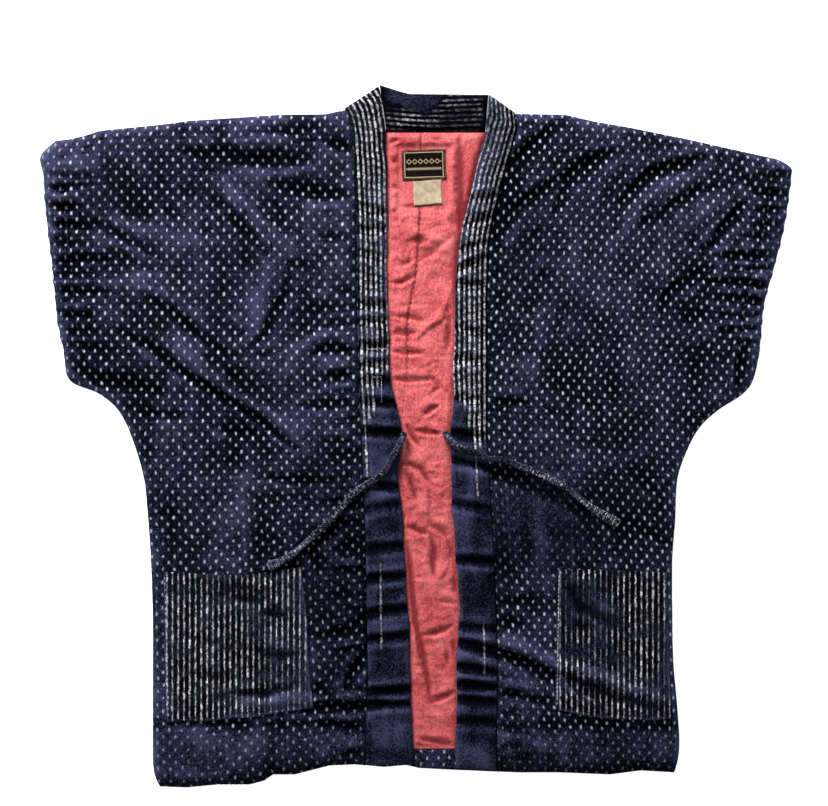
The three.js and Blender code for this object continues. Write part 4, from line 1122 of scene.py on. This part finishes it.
pocketShapes = {  # x and y of the corners, and how far top and bottom sag
    "left": {
        "topLeft": (-281.7, -151.2), "topRight": (-127.1, -146.7),
        "bottomLeft": (-277.2, -319.2), "bottomRight": (-114.8, -303.5), "topDip": 6, "bottomDip": 3,
    },
    "right": {
        "topLeft": (158.5, -149), "topRight": (280, -152.3),
        "bottomLeft": (156.2, -304.6), "bottomRight": (285, -314.7), "topDip": 0, "bottomDip": 6,
    },
}
pocketSize = {"width": 140, "height": 165}
pocketValues = {
    "step": 2.2, "gap": 0.35, "edge": 1.0, "edgeRound": 1.5, "padding": 0.9, "hem": 0.7, "thinnest": 0.7,
}
pocketStrokes = {
    "left": {
        (4.5, -2.4): [[-224, -170, -187, -169], [-188, -238, -150, -246, -126, -243]],
        (5, -2.6): [[-176, -194, -136, -204]],
        (5, -2.2): [[-246, -267, -207, -271]],
        (4, -3.4): [[-200, -287, -168, -289, -134, -279]],
        (6, 1.6): [[-196, -298, -156, -298, -115, -286]],
        (7, 1.5): [[-241, -195, -185, -186, -140, -164]],
        (6, -3.4): [[-214, -178, -176, -184, -158, -178]],
        (4, -1.8): [[-262, -222, -222, -232]],
    },
    "right": {
        (5, -2.4): [[166, -160, 184, -192, 214, -206]],
        (4.5, -2.4): [[174, -214, 196, -215]],
        (5, -1.8): [[200, -205, 232, -214]],
        (6, -3.4): [[158, -264, 190, -277, 225, -291, 262, -303, 284, -308]],
        (7, 2.4): [[160, -251, 195, -263, 230, -277, 272, -292]],
    },
}


def makePocket(name):
    shape = pocketShapes[name]
    tree = treeOf([fronts[name]])
    us, vs = (stopsFor(length, pocketValues["step"], 4) for length in pocketSize.values())
    u, v = us[None], vs[:, None]
    dip = np.sin(np.pi * u)
    seed = pick(name, 800, 820)
    (lowX, low), (highX, high) = (
        [mix(shape[row + "Left"][k], shape[row + "Right"][k], u) for k in (0, 1)] for row in ("bottom", "top")
    )
    y = mix(low - shape["bottomDip"] * dip, high - shape["topDip"] * dip, v)
    x = mix(lowX, highX, v)
    x = x + 0.9 * noise(x, y, 30, seed) * (np.abs(u - 0.5) * 2) ** 4
    y = y + 0.9 * noise(x, y, 26, seed + 1) * (np.abs(v - 0.5) * 2) ** 4
    ground = np.array([heightOn(tree, a, b) for a, b in zip(x.ravel(), y.ravel())]).reshape(x.shape)
    eased = ground.copy()
    for _ in range(6):
        eased[1:-1, 1:-1] = (eased[2:, 1:-1] + eased[:-2, 1:-1] + eased[1:-1, 2:] + eased[1:-1, :-2]) / 4
    base = np.maximum(0.6 * ground + 0.4 * eased, ground) + pocketValues["gap"]
    edge = np.minimum(np.minimum(u, 1 - u) * pocketSize["width"], v * pocketSize["height"])
    drawn = strokeHeight(strokesOf(pocketStrokes[name]), x, y)
    relief = drawn + 0.6 * crumple(x, y, 30, seed + 2) + 0.45 * crumple(x * 0.5, y, 9, seed + 3, 2)
    thick = pocketValues["edge"] + pocketValues["edgeRound"] * roll(edge, 6)
    thick += (pocketValues["padding"] + relief) * ramp((edge - 2) / 12)
    thick += pocketValues["hem"] * ramp((v - 0.86) / 0.03)
    thick -= 0.8 * bell((v - 0.865) * pocketSize["height"] / 1.6)  # stitched lines
    thick -= 0.5 * bell((edge - 4) / 1.3)
    # the relief terms paint shade into the creases and dim the stripes there; the edges are rubbed paler
    wearAndShade = np.clip(pick(name, 0.35, 0.27) + 0.12 * relief + 0.4 * bell(edge / 3), 0, 1)
    stripe = 0.82 + 0.5 * noise(x, y, 26, seed + 5) + 0.7 * noise(x * 0.35, y, 6, seed + 6) + 0.18 * relief
    stripe = stripe * (1 - 0.75 * np.clip(-drawn / 2, 0, 1))
    stripe = stripe * (1 - 0.6 * ramp((noise(x * 0.6, y, 13, seed + 7) - 0.1) / 0.5))
    if name == "right":
        stripe = stripe * (1 - 0.9 * np.exp(-(((x - 190) / 38) ** 4 + ((y + 188) / 30) ** 4)))
    else:
        faded = spots([(-158, -293, 44, 12, 1)], x, y) * (0.7 + 0.6 * noise(x, y, 12, 846))
        stripe = stripe * (1 - 0.5 * faded) + 0.3 * ramp((-236 - x) / 14)
        wearAndShade = np.clip(wearAndShade + 0.35 * faded, 0, 1)
    marks = {"stripe": np.clip(stripe, 0, 1), "wearAndShade": wearAndShade}
    top = base + np.maximum(thick, pocketValues["thinnest"])
    return gridPiece("pocket_" + name, x, y, top, base, (x, y), stripedPocket, "indigo_stripe", **marks)


pockets = {name: makePocket(name) for name in sides}
print("pockets")


# labels
labels = {
    "woven_label": {
        "middle": (9.5, 303.5), "size": (49.3, 33.6), "turn": 1.6, "base": 7.8, "wall": 1.0,
        "cloth": labelSatin, "slot": "label", "seed": 900,
    },
    "care_tab": {
        "middle": (13.4, 272.6), "size": (31.8, 26.8), "turn": 4.0, "base": 7.8, "wall": 0.7,
        "cloth": tabSatin, "slot": "care_tab", "seed": 920,
    },
}


def turnedWith(values, a, b):  # a place on a label, in the jacket's own x and y
    (x, y), angle = values["middle"], math.radians(values["turn"])
    return x + a * math.cos(angle) - b * math.sin(angle), y + a * math.sin(angle) + b * math.cos(angle)


def makeLabel(name):
    values = labels[name]
    w, h = values["size"]
    us, vs = stopsFor(w, 1.2, 1.8), stopsFor(h, 1.2, 1.8)
    u, v = np.meshgrid((us - 0.5) * w, (vs - 0.5) * h)
    seed = values["seed"]
    edge = np.minimum(w / 2 - np.abs(u), h / 2 - np.abs(v))
    bow = 1 - 0.012 * np.cos(np.pi * v / h)  # threads draw the sides in a little
    across = u * bow + 0.35 * noise(v, u * 0, 9, seed) * (np.abs(u) / (w / 2)) ** 3
    up = v + 0.3 * noise(u, v * 0, 9, seed + 1) * (np.abs(v) / (h / 2)) ** 3
    x, y = turnedWith(values, across, up)
    lift = 0.5 * np.clip(noise(x, y, 15, seed + 2), 0, 1) * ramp(edge / 4)
    if name == "care_tab":  # the free end lifts a little
        lift = 0.8 * ramp((-v / h - 0.05) / 0.45) ** 2 + 0.12 * noise(x, y, 8, seed + 3)
    base = values["base"] + 0.05 + lift
    top = base + mix(0.45, values["wall"], roll(edge, 1.6))
    return gridPiece(name, x, y, top, base, (u, v), values["cloth"], values["slot"])


labelPieces = [makeLabel(name) for name in labels]
print("labels")


# ties
tieValues = {  # in mm, but diameter and length in metres
    "width": 7.5, "height": 6.2, "gap": 0.35, "rings": 150, "around": 20, "diameter": 0.0075,
    "length": {"left": 0.220, "right": 0.226},
}
tiePaths = {  # x and y in mm, as on the solids
    "left": [
        [-11.8, 4.5], [-19.6, -12.3], [-27.4, -26.9], [-37.5, -42.6], [-55.4, -53.8], [-68.9, -63.8],
        [-82.3, -79.5], [-101.4, -99.7], [-119.3, -116.5], [-141.7, -134.4], [-165.2, -146.7],
    ],
    "right": [
        [31.9, 5.6], [40.9, -6.7], [51, -13.4], [66.6, -17.9], [80.1, -24.6], [99.1, -26.9], [117, -33.6],
        [135, -41.4], [166.3, -56], [185.4, -71.7], [202.2, -84], [227.9, -98.6],
    ],
}
tieTurns = {  # how the tie rolls to one side along its length
    "left": [0.2, 0.5, -0.1, 0.3, -0.35, 0.1, 0.3, 0.1],
    "right": [0.1, 0.6, 0.2, -0.3, 0.25, -0.1, 0.45, 0.2],
}


def roundedPath(points, count):
    points = np.array(points, float)
    t = np.concatenate([[0], np.cumsum(np.sqrt(np.hypot(*np.diff(points, axis=0).T)))])
    slopes = np.gradient(points, t, axis=0)
    s = np.linspace(0, 1, 24, endpoint=False)[:, None]
    a, b, c, d = (2 * s**3 - 3 * s**2 + 1), (s**3 - 2 * s**2 + s), (-2 * s**3 + 3 * s**2), (s**3 - s**2)
    out = []
    for k in range(len(points) - 1):
        h = t[k + 1] - t[k]
        out.append(a * points[k] + b * h * slopes[k] + c * points[k + 1] + d * h * slopes[k + 1])
    out = np.concatenate(out + [points[-1:]])
    along = lengthsAlong(out)
    at = np.linspace(0, along[-1], count)
    return np.column_stack([np.interp(at, along, out[:, 0]), np.interp(at, along, out[:, 1])]), along[-1]


def tieGround(tree, centre, across, width):  # the highest cloth under the tie, eased along it
    spread = np.array([-0.5, -0.25, 0, 0.25, 0.5])[:, None] * width
    ground = np.array([max(heightOn(tree, *place) for place in c + n * spread) for c, n in zip(centre, across)])
    longer = np.concatenate([np.full(3, ground[0]), ground, np.full(3, ground[-1])])
    ground = np.max([longer[k:k + len(ground)] for k in range(7)], axis=0)
    for _ in range(10):
        ground[1:-1] = (ground[:-2] + 2 * ground[1:-1] + ground[2:]) / 4
    return ground


def makeTie(name, tree):
    rings, around = tieValues["rings"], tieValues["around"]
    width, height = tieValues["width"], tieValues["height"]
    centre, length = roundedPath(tiePaths[name], rings)
    along = np.gradient(centre, axis=0)
    along /= np.hypot(*along.T)[:, None]
    across = np.column_stack([-along[:, 1], along[:, 0]])
    z = tieGround(tree, centre, across, width) + tieValues["gap"] + height / 2
    t = np.linspace(0, 1, rings)
    seed = pick(name, 950, 970)
    wave = lambda size, k: noise(t * length, t * 0, size, seed + k)
    swell, fall = ramp(pick(name, (t - 0.9) / 0.07, (t - 0.84) / 0.05)), ramp((t - 0.985) / 0.015)
    endShape = 1 + 0.42 * swell * (1 - pick(name, 0.35, 0.4) * fall)  # thicker where the end is turned in
    wide = (width / 2 * endShape * (1 + 0.07 * wave(16, 0) + 0.05 * wave(6, 1)))[:, None]
    thick = (height / 2 * (1 + 0.05 * wave(12, 2)))[:, None]
    shrink = (0.35 + 0.65 * np.minimum(roll(t * length, 2.2), roll((1 - t) * length, 2.6)))[:, None]
    lean = 0.35 * np.interp(t, np.linspace(0, 1, len(tieTurns[name])), tieTurns[name])[:, None]
    steps = np.arange(around)
    c, s = np.cos(2 * math.pi * steps / around), np.sin(2 * math.pi * steps / around)
    flat = np.abs(c) ** 0.8 * np.sign(c) * wide
    rise = np.abs(s) ** 0.75 * np.sign(s) * thick * (1 - 0.12 * bell(c * 2.2) * (s > 0))
    sideways = (np.cos(lean) * flat - np.sin(lean) * rise) * shrink
    upward = (np.sin(lean) * flat + np.cos(lean) * rise) * shrink
    x, y = (centre[:, k, None] + across[:, k, None] * sideways for k in (0, 1))
    points = np.dstack([x, y, z[:, None] + upward]).reshape(-1, 3)
    uv = np.dstack([wide * 3 * steps / around, np.broadcast_to((t * length)[:, None], x.shape)]).reshape(-1, 2)
    faces = []
    for k in range(rings - 1):
        for j in range(around):
            a, b = k * around + j, k * around + (j + 1) % around
            faces.append([a + around, b + around, b, a])
    faces += [list(range(around)), list(range(rings * around - 1, (rings - 1) * around - 1, -1))]
    bare = pick(name, 0.2, 0.45) * ramp((0.5 - t) / 0.2) * ramp((t - 0.1) / 0.1)
    marks = {"wearAndShade": 0.3 + 0.25 * wave(14, 4), "speckled": np.clip(0.46 + 0.38 * wave(20, 5) - bare, 0.1, 1)}
    marks = {key: np.repeat(values, around) for key, values in marks.items()}
    piece = newPiece("tie_" + name + "_cloth", points, faces, uv, tieCloth, marks, "tie_" + name)
    path = [(a * mm, b * mm, h * mm) for (a, b), h in zip(centre, z)]
    print("tie", name, round(length, 1), "mm")


clothTree = treeOf([*fronts.values(), *bands.values(), *linings.values()])
for name in sides:
    makeTie(name, clothTree)


# stitches: one is modelled, then set along lines on the cloth
bpy.ops.mesh.primitive_uv_sphere_add(segments=8, ring_count=6, radius=0.5)
oneStitch = bpy.context.object
bpy.ops.object.mode_set(mode="EDIT")
bpy.ops.mesh.select_all(action="SELECT")
bpy.ops.transform.rotate(value=math.pi / 2, orient_axis="Y", center_override=(0, 0, 0))
bpy.ops.object.mode_set(mode="OBJECT")
stitchPoints = np.array([v.co for v in oneStitch.data.vertices])
stitchFaces = [list(p.vertices) for p in oneStitch.data.polygons]
bpy.data.objects.remove(oneStitch)


def sew(name, lines, material, slot, tree, pitch, length, wide, seed):
    random = np.random.default_rng(seed)
    points, faces = [], []
    for line in lines:
        dense = denseLine(*np.array(line, float).T, 0.5)
        along = lengthsAlong(dense)
        for at in np.arange(pitch / 2, along[-1] - pitch / 3, pitch):
            at = at + random.uniform(-0.12, 0.12) * pitch
            stops = at + np.array([-1, 1]) * length / 2
            a, b = np.column_stack([np.interp(stops, along, dense[:, i]) for i in (0, 1)])
            a, b = a + random.uniform(-0.25, 0.25, 2), b + random.uniform(-0.25, 0.25, 2)
            za, zb = (heightOn(tree, *c) + 0.12 for c in (a, b))
            lengthwise = np.array([*(b - a), zb - za])
            across = np.array([-lengthwise[1], lengthwise[0], 0]) / max(np.hypot(*lengthwise[:2]), 1e-6) * wide
            axes = np.array([lengthwise, across, [0, 0, wide * 0.75]])
            middle = np.array([*(a + b) / 2, (za + zb) / 2 + 0.1])
            base = len(points) * len(stitchPoints)
            points.append(middle + stitchPoints @ axes * (0.85 + 0.3 * random.random()))
            faces += [[base + k for k in face] for face in stitchFaces]
    points = np.concatenate(points)
    newPiece(name, points, faces, points[:, :2], material, {})
    print("stitches", name, len(faces) // len(stitchFaces))


def pocketEdge(name, inset):  # down the left side of a pocket
    top, bottom = (np.array(pocketShapes[name][row + "Left"]) for row in ("top", "bottom"))
    return [bottom + (inset, 0) + (top - bottom) * share for share in (0.03, 0.97)]


def labelRing(name, inset):
    w, h = (size / 2 - inset for size in labels[name]["size"])
    return [turnedWith(labels[name], a, b) for a, b in ((-w, h), (w, h), (w, -h), (-w, -h), (-w, h))]


stitchHeights = np.arange(-338, 331, 6.0)
leftEdge, rightEdge = openEdges(stitchHeights)
liningEdges = [list(zip(edge, stitchHeights)) for edge in (leftEdge + 1.4, rightEdge - 1.4)]
seamHeights = np.arange(62, 262, 5.0)
centreSeam = list(zip(column(liningSeam, 0, 1, seamHeights) + 0.9, seamHeights))
cuffHeights = np.arange(92, 306, 6.0)
cuffLines = [cuffAt(name, cuffHeights) - side["sign"] * padded["cuffStitchIn"] for name, side in sides.items()]
cuffSeams = [list(zip(line, cuffHeights)) for line in cuffLines]
collarMend = [[(-54, 97), (-27, 98)], [(-47, 66), (-38, 66), (-38, 34)]]
pocketTree, labelTree = treeOf(pockets.values()), treeOf(labelPieces)
stitching = {  # lines, thread, slot, cloth below, then pitch, length, width and seed
    "lining_edge": (liningEdges, blueThread, "lining", clothTree, 7.0, 2.2, 0.8, 21),
    "lining_seam": ([centreSeam], redThread, "lining", clothTree, 6.0, 3.6, 0.9, 22),
    "cuffs": (cuffSeams, blueThread, "indigo_kasuri", clothTree, 6.5, 3.4, 0.9, 23),
    "collar": (collarMend, pickThread, "indigo_stripe", clothTree, 3.2, 2.4, 0.9, 24),
    "pocket_right": ([pocketEdge("right", 1.6)], pickThread, "indigo_stripe", pocketTree, 4.4, 3.6, 1.0, 25),
    "pocket_left": ([pocketEdge("left", 2.0)], pickThread, "indigo_stripe", pocketTree, 6.6, 2.8, 0.9, 26),
    "label": ([labelRing("woven_label", 1.2)], goldThread, "label", labelTree, 3.0, 1.5, 0.6, 27),
}
for name, values in stitching.items():
    sew("stitches_" + name, *values)
print("stitches")

# what each piece was cut to, as far as it shows: width, length and area of the cloth, and what it lies on
cuts = {
    "front_left": (0.385, 0.785, 0.215, ["lining_left", "back_left"]),
    "front_right": (0.360, 0.765, 0.186, ["lining_right", "back_right"]),
    "back_left": (0.420, 0.757, 0.245, []),
    "back_right": (0.424, 0.740, 0.240, []),
    "lining_left": (0.078, 0.700, 0.030, ["back_left"]),
    "lining_right": (0.138, 0.700, 0.068, ["back_right"]),
    "back_hem_facing": (0.140, 0.026, 0.003, ["back_left", "back_right"]),
    "collar_left": (0.048, 0.770, 0.0345, ["lining_left"]),
    "collar_right": (0.048, 0.765, 0.0335, ["lining_right"]),
    "collar_back_neck": (0.125, 0.054, 0.006, ["back_left", "back_right"]),
    "pocket_left": (0.163, 0.178, 0.026, ["front_left"]),
    "pocket_right": (0.130, 0.174, 0.021, ["front_right"]),
    "woven_label": (0.0493, 0.0336, None, ["lining_right"]),
    "care_tab": (0.0318, 0.0268, None, ["lining_right"]),
}
for name, (width, length, area, under) in cuts.items():
    bpy.data.objects[name + "_cloth"]
